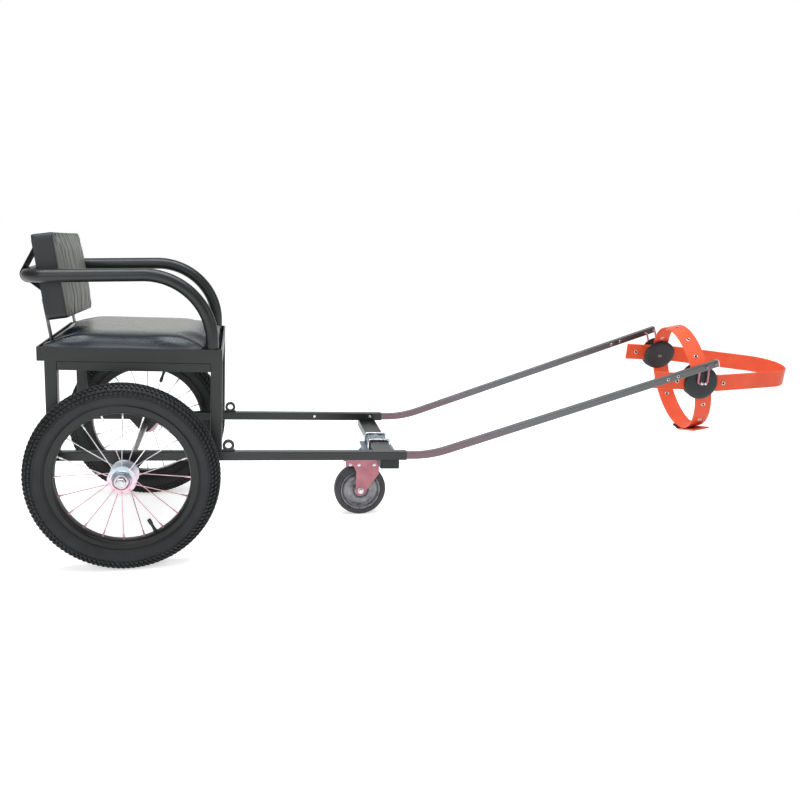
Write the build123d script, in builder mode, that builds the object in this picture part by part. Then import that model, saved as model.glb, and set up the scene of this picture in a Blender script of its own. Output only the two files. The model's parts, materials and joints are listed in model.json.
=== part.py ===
"""Dog cart: a one-seat cart on two wire wheels and a front caster, with telescoping shafts and a harness.

The cart is drawn level, in millimetres: x runs forward from the axle, y to the sitter's left and z up from
the ground under the road wheels. At the end it is pitched about the axle until its caster stands on the
ground, which is how the cart parks, and then centred over its own footprint.
"""

import os
from math import asin, atan2, cos, degrees, hypot, radians, sin, sqrt, tan

from build123d import *

# Fits shared by the whole cart
running_gap = 0.05
seat_gap = 0.3
slide_gap = 0.2

# Road wheels, sixteen-inch wire wheels
wheel_radius = 203.0
wheel_outboard = 67.0
tyre_half_width = 26.0
tyre_height = 52.0
tread_half_width = 15.0
tyre_shoulder_half_width = 22.0
tyre_shoulder_drop = 10.0
bead_half_width = 14.5
bead_height = 7.0
rim_wall = 2.2
rim_floor = 5.0
rim_well_depth = 6.0
rim_well_half_width = 11.0
spoke_count = 20
spoke_radius = 1.3
spoke_sides = 8
hub_flange_radius = 30.5
hub_flange_y = 24.0
hub_flange_thickness = 3.0
hub_barrel_radius = 13.0
hub_cup_radius = 20.0
hub_half_length = 36.0

# Axle bar with its brackets, collars and nuts
axle_radius = 7.0
axle_collar_radius = 11.0
axle_tail = 16.0
axle_nut_flats = 19.0
axle_nut_height = 10.0
bracket_thickness = 8.0
bracket_top_length = 76.0
bracket_top_height = 2.0
bracket_eye_radius = 17.0

# Seat frame
leg_size = 25.0
leg_wall = 1.8
bar_size = 20.0
tray_rear = -179.0
tray_length = 383.0
tray_half_width = 199.0
angle_leg = 30.0
angle_wall = 3.0
rear_leg_inset = 27.0
leg_length = 198.0

# Lower rails, which the shafts slide in
shaft_size = 16.0
shaft_wall = 1.5
rail_wall = 1.8
tube_corner = 2.0
rail_overhang = 5.0
rail_above_axle = 28.0
rail_front = 622.0
rail_rear_lap = 1.5

# Seat board and cushion
board_thickness = 9.0
board_side_gap = 1.0
cushion_edge_height = 22.0
cushion_crown = 27.0
cushion_corner = 22.0
foot_notch_gap = 2.0

# Armrest, one bent tube round the seat
arm_tube_radius = 14.0
arm_height = 189.0
arm_rear_drop = 17.0
arm_foot_inset = 22.0
arm_foot_straight = 49.0
arm_rear_bend = 45.0
arm_back_gap = 9.0

# Backrest
back_lean = 9.0
back_strip_width = 20.0
back_strip_thickness = 3.0
back_strip_inset = 17.0
back_strip_lap = 45.0
pad_below_arm = 99.0
pad_height = 172.0
pad_side_gap = 10.7
pad_thickness = 40.0
pad_corner = 16.0
pad_edge_bevel = 8.0
back_board_thickness = 8.0
back_board_margin = 4.0
back_bracket_inset = 77.0
back_bracket_width = 36.0
back_bracket_thickness = 4.0
back_bracket_height = 62.0

# Tow eyes on the rails
eye_radius = 13.0
eye_hole_radius = 7.0
eye_thickness = 8.0
eye_foot_length = 28.0
eye_foot_height = 4.0

# Front cross tube and the caster clamped to it
cross_tube_back = 39.0
cross_tube_length = 44.0
cross_tube_height = 20.0
u_bolt_radius = 3.0
u_bolt_tail = 10.0
caster_radius = 65.0
caster_back = 39.0
caster_trail = 18.0
caster_plate_length = 78.0
caster_plate_width = 88.0
caster_plate_thickness = 4.0
caster_plate_corner = 6.0
race_radius = 29.0
race_top_radius = 18.0
race_height = 13.0
king_pin_radius = 6.0
king_pin_tail = 5.0
fork_thickness = 3.0
fork_front_reach = 44.0
fork_rear_reach = 41.0
fork_front_depth = 47.0
fork_rear_depth = 26.0
fork_notch_depth = 41.0
fork_wheel_gap = 22.7
fork_side_gap = 4.0
fork_eye_radius = 13.0
fork_dish_radius = 21.0
fork_dish_height = 4.0
caster_bolt_radius = 5.0
caster_bolt_tail = 5.0
caster_half_width = 16.0
caster_tread_depth = 15.0
caster_tread_bevel = 5.0
caster_hub_radius = 14.0
caster_web_radius = 28.0
caster_web_half_width = 6.0
caster_core_lip = 5.0
caster_core_step = 2.0

# Shafts
shaft_inserted = 250.0
shaft_bend_ahead = 57.0
shaft_bend_radius = 250.0
shaft_rise_left = 19.9
shaft_rise_right = 18.2
shaft_reach_left = 712.0
shaft_reach_right = 695.0
bail_hole_back = 20.0

# Harness
strap_width = 42.0
strap_thickness = 4.0
harness_shaft_gap = 46.0
girth_half_height = 134.0
girth_drop = 27.0
girth_ahead = 8.0
girth_tilt = 13.0
breast_tail_right = 118.0
breast_tail_left = 86.0
breast_bend_ahead = 46.0
breast_converge = 19.0
breast_nose_reach = 285.0
breast_dip = 1.0
disc_radius = 42.0
disc_thickness = 10.0
disc_bevel = 2.5
inner_disc_thickness = 6.0
rivet_radius = 7.0
bail_radius = 2.5
bail_half_width = 12.0
bail_drop = 52.0
bail_lead = 8.0
bail_bend = 7.0
bail_shaft_gap = 14.0
buckle_length = 50.0
buckle_width = 28.0
buckle_thickness = 4.0
tongue_length = 100.0
tongue_rise = 32.0

# Heights and places that follow from the sizes above
rail_size = shaft_size + 2 * slide_gap + 2 * rail_wall
rail_y = tray_half_width + rail_overhang - rail_size / 2
rail_z = wheel_radius + rail_above_axle
rail_top = rail_z + rail_size / 2
rail_bottom = rail_z - rail_size / 2
wheel_y = rail_y + wheel_outboard
bead_radius = wheel_radius - tyre_height
hub_inner_y = wheel_y - hub_half_length
hub_outer_y = wheel_y + hub_half_length
tray_front = tray_rear + tray_length
tray_x = tray_rear + tray_length / 2
tray_bottom = rail_top + leg_length
flange_top = tray_bottom + angle_wall
leg_y = tray_half_width - leg_size / 2
rear_leg_x = tray_rear + rear_leg_inset
front_post_x = tray_front - leg_size / 2
rail_rear = rear_leg_x - leg_size / 2 - rail_rear_lap
lean = radians(back_lean)
back_foot_x = tray_rear + angle_leg - back_strip_thickness
arm_z = flange_top + arm_height
arm_y = tray_half_width - angle_wall - seat_gap - arm_tube_radius
arm_foot_x = tray_front - arm_foot_inset
arm_rear_height = arm_height - arm_rear_drop
arm_rear_z = flange_top + arm_rear_height
arm_rear_x = back_foot_x - (arm_rear_height * sin(lean) + arm_tube_radius + arm_back_gap) / cos(lean)
pad_width = 2 * (arm_y - arm_tube_radius - pad_side_gap)
eye_x = tray_front + seat_gap + eye_foot_length / 2
cross_tube_x = rail_front - cross_tube_back
cross_tube_top = rail_bottom
cross_tube_bottom = cross_tube_top - cross_tube_height
caster_plate_bottom = cross_tube_bottom - caster_plate_thickness
caster_x = cross_tube_x - caster_back
swivel_x = caster_x + caster_trail
race_bottom = caster_plate_bottom - race_height
fork_top = race_bottom - seat_gap - fork_dish_height
fork_inner_half_width = caster_half_width + fork_side_gap
caster_z = fork_top - fork_thickness - fork_wheel_gap - caster_radius
shaft_bend_x = rail_front + shaft_bend_ahead
shaft_rise = {"left": radians(shaft_rise_left), "right": radians(shaft_rise_right)}
shaft_reach = {"left": shaft_reach_left, "right": shaft_reach_right}
bail_x = {}
bail_z = {}
for name in ("left", "right"):
    hole_reach = shaft_reach[name] - bail_hole_back * cos(shaft_rise[name])
    bail_x[name] = shaft_bend_x + hole_reach
    bail_z[name] = rail_z + hole_reach * tan(shaft_rise[name])
harness_x = (bail_x["left"] + bail_x["right"]) / 2 + bail_lead
harness_z = (bail_z["left"] + bail_z["right"]) / 2 - bail_drop
girth_half_width = rail_y - shaft_size / 2 - harness_shaft_gap

left_and_right = (("left", 1), ("right", -1))
pieces = []


def keep(builder, name, place=Location()):
    """Label a finished piece and put it with the rest of the cart, moved to its place."""
    piece = builder.part.moved(place)
    piece.label = name
    pieces.append(piece)


def square_tube(base, centre, size, wall, length):
    """Square hollow section with rounded corners, drawn on a base plane and run along its normal."""
    with BuildPart() as tube:
        with BuildSketch(base):
            with Locations(centre):
                RectangleRounded(size, size, tube_corner)
                Rectangle(size - 2 * wall, size - 2 * wall, mode=Mode.SUBTRACT)
        extrude(amount=length)
    return tube


# Axle bar: one round bar through both hubs, with a collar inside each hub
with BuildPart() as axle:
    with Locations((0, 0, wheel_radius)):
        Cylinder(axle_radius, 2 * (hub_outer_y + axle_tail), rotation=(90, 0, 0))
    collar_start = rail_y + bracket_thickness / 2 + seat_gap
    collar_length = hub_inner_y - seat_gap - collar_start
    with Locations(*[(0, side * (collar_start + collar_length / 2), wheel_radius) for _, side in left_and_right]):
        Cylinder(axle_collar_radius, collar_length, rotation=(90, 0, 0))
keep(axle, "axle")

# Axle brackets: tapered plates welded under the rails, and the nuts that keep the wheels on
for name, side in left_and_right:
    with BuildPart() as axle_bracket:
        with BuildSketch(Plane.XZ.offset(-side * rail_y)):
            with Locations((0, wheel_radius)):
                Circle(bracket_eye_radius)
            with Locations((0, rail_bottom)):
                Rectangle(bracket_top_length, bracket_top_height, align=(Align.CENTER, Align.MAX))
            make_hull()
            with Locations((0, wheel_radius)):
                Circle(axle_radius + running_gap, mode=Mode.SUBTRACT)
        extrude(amount=bracket_thickness / 2, both=True)
    keep(axle_bracket, f"axle_bracket_{name}")

    with BuildPart() as axle_nut:
        with BuildSketch(Plane.XZ.offset(-side * (hub_outer_y + seat_gap + axle_nut_height / 2))):
            with Locations((0, wheel_radius)):
                RegularPolygon(axle_nut_flats / 2, 6, major_radius=False)
                Circle(axle_radius + running_gap, mode=Mode.SUBTRACT)
        extrude(amount=axle_nut_height / 2, both=True)
    keep(axle_nut, f"axle_nut_{name}")

# Road wheels: balloon tyre, box rim, crossless wire spokes and a pressed hub, turned about the axle
wheel_axis = Axis((0, 0, wheel_radius), (0, 1, 0))
tyre_belly_low = bead_radius + bead_height + (tyre_height - bead_height) / 4
tyre_belly_high = bead_radius + bead_height + (tyre_height - bead_height) / 2
rim_floor_radius = bead_radius - seat_gap
rim_inner_y = bead_half_width + seat_gap
rim_outer_y = rim_inner_y + rim_wall
rim_base_radius = rim_floor_radius - rim_floor
rim_inner_radius = rim_base_radius - rim_well_depth
for name, side in left_and_right:
    wheel_plane = Plane(origin=(0, side * wheel_y, wheel_radius), x_dir=(0, 1, 0), z_dir=(1, 0, 0))

    with BuildPart() as tyre:
        with BuildSketch(wheel_plane):
            with BuildLine():
                bead_top = bead_radius + bead_height
                shoulder = wheel_radius - tyre_shoulder_drop
                Polyline((-bead_half_width, bead_top), (-bead_half_width, bead_radius),
                         (bead_half_width, bead_radius), (bead_half_width, bead_top),
                         (tyre_half_width, tyre_belly_low), (tyre_half_width, tyre_belly_high),
                         (tyre_shoulder_half_width, shoulder), (tread_half_width, wheel_radius),
                         (-tread_half_width, wheel_radius), (-tyre_shoulder_half_width, shoulder),
                         (-tyre_half_width, tyre_belly_high), (-tyre_half_width, tyre_belly_low), close=True)
            make_face()
        revolve(axis=wheel_axis)
    keep(tyre, f"tyre_{name}")

    with BuildPart() as rim:
        with BuildSketch(wheel_plane):
            with BuildLine():
                flange = bead_radius + bead_height - seat_gap
                Polyline((-rim_outer_y, flange), (-rim_inner_y, flange), (-rim_inner_y, rim_floor_radius),
                         (rim_inner_y, rim_floor_radius), (rim_inner_y, flange), (rim_outer_y, flange),
                         (rim_outer_y, rim_base_radius), (rim_well_half_width, rim_inner_radius),
                         (-rim_well_half_width, rim_inner_radius), (-rim_outer_y, rim_base_radius), close=True)
            make_face()
        revolve(axis=wheel_axis)
    keep(rim, f"rim_{name}")

    with BuildPart() as hub:
        with BuildSketch(wheel_plane):
            with BuildLine():
                bore = axle_radius + running_gap
                inside = hub_flange_y - hub_flange_thickness / 2
                outside = hub_flange_y + hub_flange_thickness / 2
                Polyline((-hub_half_length, bore), (hub_half_length, bore), (hub_half_length, hub_cup_radius),
                         (outside, hub_cup_radius), (outside, hub_flange_radius), (inside, hub_flange_radius),
                         (inside, hub_barrel_radius), (-inside, hub_barrel_radius), (-inside, hub_flange_radius),
                         (-outside, hub_flange_radius), (-outside, hub_cup_radius),
                         (-hub_half_length, hub_cup_radius), close=True)
            make_face()
        revolve(axis=wheel_axis)
    keep(hub, f"hub_{name}")

    with BuildPart() as spokes:
        for number in range(spoke_count):
            turn = radians(360 * number / spoke_count)
            out = Vector(cos(turn), 0, sin(turn))
            flange_side = 1 if number % 2 else -1
            centre = Vector(0, side * wheel_y, wheel_radius)
            foot = centre + out * (hub_flange_radius + 2 * seat_gap) + Vector(0, flange_side * hub_flange_y, 0)
            head = centre + out * (rim_inner_radius - 2 * seat_gap)
            with BuildSketch(Plane(origin=foot, z_dir=head - foot)):
                RegularPolygon(spoke_radius, spoke_sides)
            extrude(amount=(head - foot).length)
    keep(spokes, f"spokes_{name}")

# Lower rails: open-ended square tubes that carry the axle, the seat frame and the shafts
for name, side in left_and_right:
    rail = square_tube(Plane.YZ.offset(rail_rear), (side * rail_y, rail_z), rail_size, rail_wall,
                       rail_front - rail_rear)
    keep(rail, f"rail_{name}")

# Legs and posts: upright square tubes from the rails to the seat tray
for name, side in left_and_right:
    for place, leg_x in (("rear_leg", rear_leg_x), ("front_post", front_post_x)):
        leg = square_tube(Plane.XY.offset(rail_top), (leg_x, side * leg_y), leg_size, leg_wall,
                          tray_bottom - rail_top)
        keep(leg, f"{place}_{name}")

# Bars under the tray: one along each side and one across each end, let in between the legs
bar_z = tray_bottom - bar_size / 2
bar_rear = rear_leg_x + leg_size / 2
bar_front = front_post_x - leg_size / 2
for name, side in left_and_right:
    side_bar = square_tube(Plane.YZ.offset(bar_rear), (side * leg_y, bar_z), bar_size, leg_wall,
                           bar_front - bar_rear)
    keep(side_bar, f"side_bar_{name}")
bar_half_width = leg_y - leg_size / 2
for place, bar_x in (("rear", rear_leg_x), ("front", front_post_x)):
    cross_bar = square_tube(Plane.XZ.offset(-bar_half_width), (bar_x, bar_z), bar_size, leg_wall,
                            2 * bar_half_width)
    keep(cross_bar, f"cross_bar_{place}")

# Seat tray: a frame of angle iron with its flat leg inwards
with BuildPart() as seat_tray:
    with BuildSketch(Plane.XY.offset(tray_bottom)):
        with Locations((tray_x, 0)):
            Rectangle(tray_length, 2 * tray_half_width)
            Rectangle(tray_length - 2 * angle_leg, 2 * (tray_half_width - angle_leg), mode=Mode.SUBTRACT)
    extrude(amount=angle_wall)
    with BuildSketch(Plane.XY.offset(tray_bottom)):
        with Locations((tray_x, 0)):
            Rectangle(tray_length, 2 * tray_half_width)
            Rectangle(tray_length - 2 * angle_wall, 2 * (tray_half_width - angle_wall), mode=Mode.SUBTRACT)
    extrude(amount=angle_leg)
keep(seat_tray, "seat_tray")

# Seat board and cushion: both cut away at the front corners, where the armrest's feet stand
board_rear = back_foot_x + 3 * seat_gap
board_front = tray_front - angle_wall - board_side_gap
board_half_width = tray_half_width - angle_wall - board_side_gap
board_x = (board_rear + board_front) / 2
board_length = board_front - board_rear
foot_notch = arm_tube_radius + foot_notch_gap
notch_length = board_front - arm_foot_x + foot_notch
notch_width = board_half_width - arm_y + foot_notch
with BuildPart() as seat_board:
    with BuildSketch(Plane.XY.offset(flange_top)):
        with Locations((board_x, 0)):
            Rectangle(board_length, 2 * board_half_width)
        for _, side in left_and_right:
            with Locations((board_front - notch_length / 2, side * (board_half_width - notch_width / 2))):
                Rectangle(notch_length, notch_width, mode=Mode.SUBTRACT)
    extrude(amount=board_thickness)
keep(seat_board, "seat_board")

cushion_bottom = flange_top + board_thickness + seat_gap
cushion_arch = ((board_length / 2) ** 2 + cushion_crown ** 2) / (2 * cushion_crown)
with BuildPart() as seat_cushion:
    with BuildSketch(Plane.XY.offset(cushion_bottom)):
        with Locations((board_x, 0)):
            RectangleRounded(board_length, 2 * board_half_width, cushion_corner)
        for _, side in left_and_right:
            with Locations((board_front - notch_length / 2, side * (board_half_width - notch_width / 2))):
                Rectangle(notch_length, notch_width, mode=Mode.SUBTRACT)
    extrude(amount=cushion_edge_height + cushion_crown)
    with Locations((board_x, 0, cushion_bottom + cushion_edge_height + cushion_crown - cushion_arch)):
        Cylinder(cushion_arch, 2 * board_half_width, rotation=(90, 0, 0), mode=Mode.INTERSECT)
keep(seat_cushion, "seat_cushion")

# Armrest: one round tube bent up from the front corners, back along the sides and round behind the backrest
arm_front_bend = arm_height - arm_foot_straight
with BuildPart() as armrest_tube:
    with BuildLine():
        FilletPolyline((arm_foot_x, -arm_y, flange_top), (arm_foot_x, -arm_y, arm_z),
                       (arm_rear_x, -arm_y, arm_rear_z), (arm_rear_x, arm_y, arm_rear_z), (arm_foot_x, arm_y, arm_z), (arm_foot_x, arm_y, flange_top),
                       radius=[arm_front_bend, arm_rear_bend, arm_rear_bend, arm_front_bend])
    with BuildSketch(Plane.XY.offset(flange_top)):
        with Locations((arm_foot_x, -arm_y)):
            Circle(arm_tube_radius)
    sweep()
keep(armrest_tube, "armrest_tube")

# Backrest: two flat strips stand on the tray, lean back and carry a board with the pad on its front
back_plane = Plane(origin=(back_foot_x, 0, flange_top), x_dir=(0, 1, 0), z_dir=(cos(lean), 0, sin(lean)))
strip_foot = back_strip_thickness * sin(lean) / cos(lean) + seat_gap
arm_rear_local = back_plane.to_local_coords(Vector(arm_rear_x, 0, arm_rear_z))
pad_start = arm_rear_local.Y - pad_below_arm
back_strip_y = pad_width / 2 - back_strip_inset
back_bracket_y = pad_width / 2 - back_bracket_inset
for name, side in left_and_right:
    with BuildPart() as back_strip:
        with BuildSketch(back_plane):
            with Locations((side * back_strip_y, strip_foot)):
                Rectangle(back_strip_width, pad_start + back_strip_lap - strip_foot,
                          align=(Align.CENTER, Align.MIN))
        extrude(amount=-back_strip_thickness)
    keep(back_strip, f"back_strip_{name}")

with BuildPart() as back_board:
    with BuildSketch(back_plane):
        with Locations((0, pad_start + pad_height / 2)):
            RectangleRounded(pad_width - 2 * back_board_margin, pad_height - 2 * back_board_margin, pad_corner)
    extrude(amount=back_board_thickness)
keep(back_board, "back_board")

with BuildPart() as back_pad:
    with BuildSketch(back_plane.offset(back_board_thickness + seat_gap)):
        with Locations((0, pad_start + pad_height / 2)):
            RectangleRounded(pad_width, pad_height, pad_corner)
    extrude(amount=pad_thickness)
    chamfer(back_pad.faces().sort_by(Axis.X)[-1].edges(), pad_edge_bevel)
keep(back_pad, "back_pad")

# Back brackets: plates on the back of the board, cut to the armrest's rear run and welded to it
for name, side in left_and_right:
    with BuildPart() as back_bracket:
        with BuildSketch(back_plane):
            with Locations((side * back_bracket_y, arm_rear_local.Y + back_bracket_height / 4)):
                Rectangle(back_bracket_width, back_bracket_height)
        extrude(amount=-back_bracket_thickness)
        with BuildSketch(back_plane):
            with Locations((side * back_bracket_y, arm_rear_local.Y)):
                Rectangle(back_bracket_width, arm_tube_radius)
        extrude(amount=arm_rear_local.Z)
        with Locations((arm_rear_x, side * back_bracket_y, arm_rear_z)):
            Cylinder(arm_tube_radius + running_gap, 2 * back_bracket_width, rotation=(90, 0, 0), mode=Mode.SUBTRACT)
    keep(back_bracket, f"back_bracket_{name}")

# Tow eyes: small forged eyes welded on top of the rails, just ahead of the front posts
for name, side in left_and_right:
    with BuildPart() as tow_eye:
        with BuildSketch(Plane.XZ.offset(-side * rail_y)):
            with Locations((eye_x, rail_top + eye_radius)):
                Circle(eye_radius)
            with Locations((eye_x, rail_top)):
                Rectangle(eye_foot_length, eye_foot_height, align=(Align.CENTER, Align.MIN))
            with Locations((eye_x, rail_top + eye_radius)):
                Circle(eye_hole_radius, mode=Mode.SUBTRACT)
        extrude(amount=eye_thickness / 2, both=True)
    keep(tow_eye, f"tow_eye_{name}")

# Front cross tube under both rails
with BuildPart() as cross_tube:
    with BuildSketch(Plane.XZ.offset(-rail_y - rail_size / 2)):
        with Locations((cross_tube_x, cross_tube_bottom + cross_tube_height / 2)):
            RectangleRounded(cross_tube_length, cross_tube_height, tube_corner)
            Rectangle(cross_tube_length - 2 * rail_wall, cross_tube_height - 2 * rail_wall, mode=Mode.SUBTRACT)
    extrude(amount=2 * rail_y + rail_size)
keep(cross_tube, "cross_tube")

# Shackle bolts: square-bent rods over the cross tube and down through the caster's plate
u_bolt_reach = cross_tube_length / 2 + u_bolt_radius + seat_gap
u_bolt_top = cross_tube_top + u_bolt_radius + seat_gap
u_bolt_end = caster_plate_bottom - u_bolt_tail
u_bolt_y = race_radius + u_bolt_radius + seat_gap
u_bolt_bend = tube_corner + u_bolt_radius + seat_gap
for name, side in left_and_right:
    with BuildPart() as u_bolt:
        with BuildLine():
            FilletPolyline((cross_tube_x - u_bolt_reach, side * u_bolt_y, u_bolt_end),
                           (cross_tube_x - u_bolt_reach, side * u_bolt_y, u_bolt_top),
                           (cross_tube_x + u_bolt_reach, side * u_bolt_y, u_bolt_top),
                           (cross_tube_x + u_bolt_reach, side * u_bolt_y, u_bolt_end), radius=u_bolt_bend)
        with BuildSketch(Plane.XY.offset(u_bolt_end)):
            with Locations((cross_tube_x - u_bolt_reach, side * u_bolt_y)):
                Circle(u_bolt_radius)
        sweep()
    keep(u_bolt, f"u_bolt_{name}")

# Caster plate: plate with the upper race and the king pin
with BuildPart() as caster_plate:
    with BuildSketch(Plane.XY.offset(caster_plate_bottom)):
        with Locations((cross_tube_x, 0)):
            RectangleRounded(caster_plate_length, caster_plate_width, caster_plate_corner)
        for _, side in left_and_right:
            for end in (-1, 1):
                with Locations((cross_tube_x + end * u_bolt_reach, side * u_bolt_y)):
                    Circle(u_bolt_radius + seat_gap, mode=Mode.SUBTRACT)
    extrude(amount=caster_plate_thickness)
    with Locations((swivel_x, 0, race_bottom)):
        Cone(race_radius, race_top_radius, race_height, align=(Align.CENTER, Align.CENTER, Align.MIN))
    with Locations((swivel_x, 0, fork_top - fork_thickness - king_pin_tail)):
        Cylinder(king_pin_radius, race_bottom - fork_top + fork_thickness + king_pin_tail,
                 align=(Align.CENTER, Align.CENTER, Align.MIN))
keep(caster_plate, "caster_plate")

# Caster fork: pressed steel, a crown with a lobe behind, bent down into two legs that narrow to the wheel's bolt
crown_rear = caster_x - fork_rear_reach
crown_front = caster_x + fork_front_reach
notch_x = caster_x - fork_eye_radius
fork_outer = fork_inner_half_width + fork_thickness
leg_width = 2 * fork_outer
with BuildPart() as caster_fork:
    with BuildSketch(Plane.XZ):
        with BuildLine():
            Polyline((crown_rear, fork_top), (crown_front, fork_top), (crown_front, fork_top - fork_front_depth),
                     (caster_x + fork_eye_radius, caster_z), (notch_x, caster_z),
                     (notch_x, fork_top - fork_notch_depth),
                     (notch_x - (fork_notch_depth - fork_rear_depth) / 2, fork_top - fork_rear_depth),
                     (crown_rear, fork_top - fork_rear_depth), close=True)
        make_face()
        with Locations((caster_x, caster_z)):
            Circle(fork_eye_radius)
    extrude(amount=leg_width / 2, both=True)
    with BuildSketch(Plane.YZ):
        with Locations((0, fork_top - fork_thickness)):
            Rectangle(2 * fork_inner_half_width, 2 * wheel_radius, align=(Align.CENTER, Align.MAX))
    extrude(amount=2 * caster_x, both=True, mode=Mode.SUBTRACT)
    with Locations((swivel_x, 0, fork_top)):
        Cylinder(fork_dish_radius, fork_dish_height, align=(Align.CENTER, Align.CENTER, Align.MIN))
    with Locations((swivel_x, 0, fork_top)):
        Cylinder(king_pin_radius + running_gap, 4 * race_height, mode=Mode.SUBTRACT)
    with Locations((caster_x, 0, caster_z)):
        Cylinder(caster_bolt_radius + running_gap, 2 * leg_width, rotation=(90, 0, 0), mode=Mode.SUBTRACT)
keep(caster_fork, "caster_fork")

with BuildPart() as caster_bolt:
    with Locations((caster_x, 0, caster_z)):
        Cylinder(caster_bolt_radius, leg_width + 2 * caster_bolt_tail, rotation=(90, 0, 0))
keep(caster_bolt, "caster_bolt")

# Caster wheel: rubber tread on a dished core
caster_axis = Axis((caster_x, 0, caster_z), (0, 1, 0))
caster_section = Plane(origin=(caster_x, 0, caster_z), x_dir=(0, 1, 0), z_dir=(1, 0, 0))
tread_inner = caster_radius - caster_tread_depth
core_outer = tread_inner - seat_gap
core_half_width = fork_inner_half_width - 2 * seat_gap
with BuildPart() as caster_tread:
    with BuildSketch(caster_section):
        with BuildLine():
            shoulder = caster_radius - caster_tread_bevel
            crown = caster_half_width - caster_tread_bevel
            Polyline((-caster_half_width, tread_inner), (caster_half_width, tread_inner),
                     (caster_half_width, shoulder), (crown, caster_radius), (-crown, caster_radius),
                     (-caster_half_width, shoulder), close=True)
        make_face()
    revolve(axis=caster_axis)
keep(caster_tread, "caster_tread")

with BuildPart() as caster_core:
    with BuildSketch(caster_section):
        with BuildLine():
            bore = caster_bolt_radius + running_gap
            lip_radius = core_outer - caster_core_lip
            lip_y = caster_half_width - caster_core_step
            web_outer = lip_radius - caster_core_lip
            Polyline((-core_half_width, bore), (core_half_width, bore), (core_half_width, caster_hub_radius),
                     (caster_web_half_width, caster_web_radius), (caster_web_half_width, web_outer),
                     (lip_y, lip_radius), (lip_y, core_outer), (-lip_y, core_outer), (-lip_y, lip_radius),
                     (-caster_web_half_width, web_outer), (-caster_web_half_width, caster_web_radius),
                     (-core_half_width, caster_hub_radius), close=True)
        make_face()
    revolve(axis=caster_axis)
keep(caster_core, "caster_core")

# Shafts: square tubes that slide in the rails, bend up and run on to the harness, the left a little higher
shaft_tail_x = rail_front - shaft_inserted
for name, side in left_and_right:
    rise = shaft_rise[name]
    reach = shaft_reach[name]
    with BuildPart() as shaft:
        with BuildLine():
            FilletPolyline((shaft_tail_x, side * rail_y, rail_z), (shaft_bend_x, side * rail_y, rail_z),
                           (shaft_bend_x + reach, side * rail_y, rail_z + reach * tan(rise)),
                           radius=shaft_bend_radius)
        with BuildSketch(Plane.YZ.offset(shaft_tail_x)):
            with Locations((side * rail_y, rail_z)):
                RectangleRounded(shaft_size, shaft_size, tube_corner)
                Rectangle(shaft_size - 2 * shaft_wall, shaft_size - 2 * shaft_wall, mode=Mode.SUBTRACT)
        sweep()
        for end in (-1, 1):
            with Locations((bail_x[name] + end * bail_half_width * cos(rise), side * rail_y,
                            bail_z[name] + end * bail_half_width * sin(rise))):
                Cylinder(bail_radius + running_gap, 2 * shaft_size, rotation=(90, 0, 0), mode=Mode.SUBTRACT)
    keep(shaft, f"shaft_{name}")

# The harness is drawn about the middle of its discs' axis, and hangs turned as the two shafts' ends stand
breast_inner_y = girth_half_width + seat_gap
breast_outer_y = breast_inner_y + strap_thickness
disc_inner_y = breast_outer_y + seat_gap
disc_outer_y = disc_inner_y + disc_thickness
harness_roll = degrees(atan2(bail_z["left"] - bail_z["right"], disc_inner_y + disc_outer_y))
harness_yaw = degrees(atan2(bail_x["right"] - bail_x["left"], disc_inner_y + disc_outer_y))
harness_place = Location((harness_x, 0, harness_z), (harness_roll, 0, harness_yaw))

# Girth strap: an oval band in a plane that leans back at the top
tilt = radians(girth_tilt)
girth_plane = Plane(origin=(girth_ahead, 0, 0), x_dir=(0, 1, 0), z_dir=(cos(tilt), 0, sin(tilt)))
with BuildPart() as girth_strap:
    with BuildSketch(girth_plane):
        with Locations((0, -girth_drop)):
            Ellipse(girth_half_width, girth_half_height)
            Ellipse(girth_half_width - strap_thickness, girth_half_height - strap_thickness, mode=Mode.SUBTRACT)
    extrude(amount=strap_width / 2, both=True)
keep(girth_strap, "girth_strap", harness_place)

# Breast strap: a flat loop outside the girth strap, whose two runs close in ahead of the discs to a round nose. It
# dips a little and is open at the back.
converge = radians(breast_converge)
nose_x = ((breast_nose_reach - breast_bend_ahead * sin(converge) - breast_inner_y * cos(converge))
          / (1 - sin(converge)))
nose_radius = breast_nose_reach - nose_x


def breast_run(layer):
    """Bend, start of the nose and tip of the strap's left half, on its inner face or a layer outside it."""
    bend = (breast_bend_ahead + layer * (1 - cos(converge)) / sin(converge), breast_inner_y + layer)
    reach = nose_radius + layer
    return bend, (nose_x + reach * sin(converge), reach * cos(converge)), (nose_x + reach, 0)


with BuildPart() as breast_strap:
    with BuildSketch(Plane.XY.offset(-strap_width / 2)):
        with BuildLine():
            for layer, layer_y in ((0, breast_inner_y), (strap_thickness, breast_outer_y)):
                bend, nose, nose_tip = breast_run(layer)
                Polyline((-breast_tail_right, -layer_y), (bend[0], -bend[1]), (nose[0], -nose[1]))
                ThreePointArc((nose[0], -nose[1]), nose_tip, nose)
                Polyline(nose, bend, (-breast_tail_left, layer_y))
            Line((-breast_tail_right, -breast_inner_y), (-breast_tail_right, -breast_outer_y))
            Line((-breast_tail_left, breast_inner_y), (-breast_tail_left, breast_outer_y))
        make_face()
    extrude(amount=strap_width)
keep(breast_strap, "breast_strap", harness_place * Location((0, 0, 0), (0, breast_dip, 0)))

# Discs and bails: a round pad on each side of the straps, hung by a bent wire from the end of its shaft, and one
# inside the girth strap, which leans with it and bears on it by the shank of its rivet


def girth_inside(height):
    """Half width inside the girth strap at a height over the discs' axis."""
    share = (height / cos(tilt) + girth_drop) / (girth_half_height - strap_thickness)
    return (girth_half_width - strap_thickness) * sqrt(1 - share ** 2)


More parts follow.
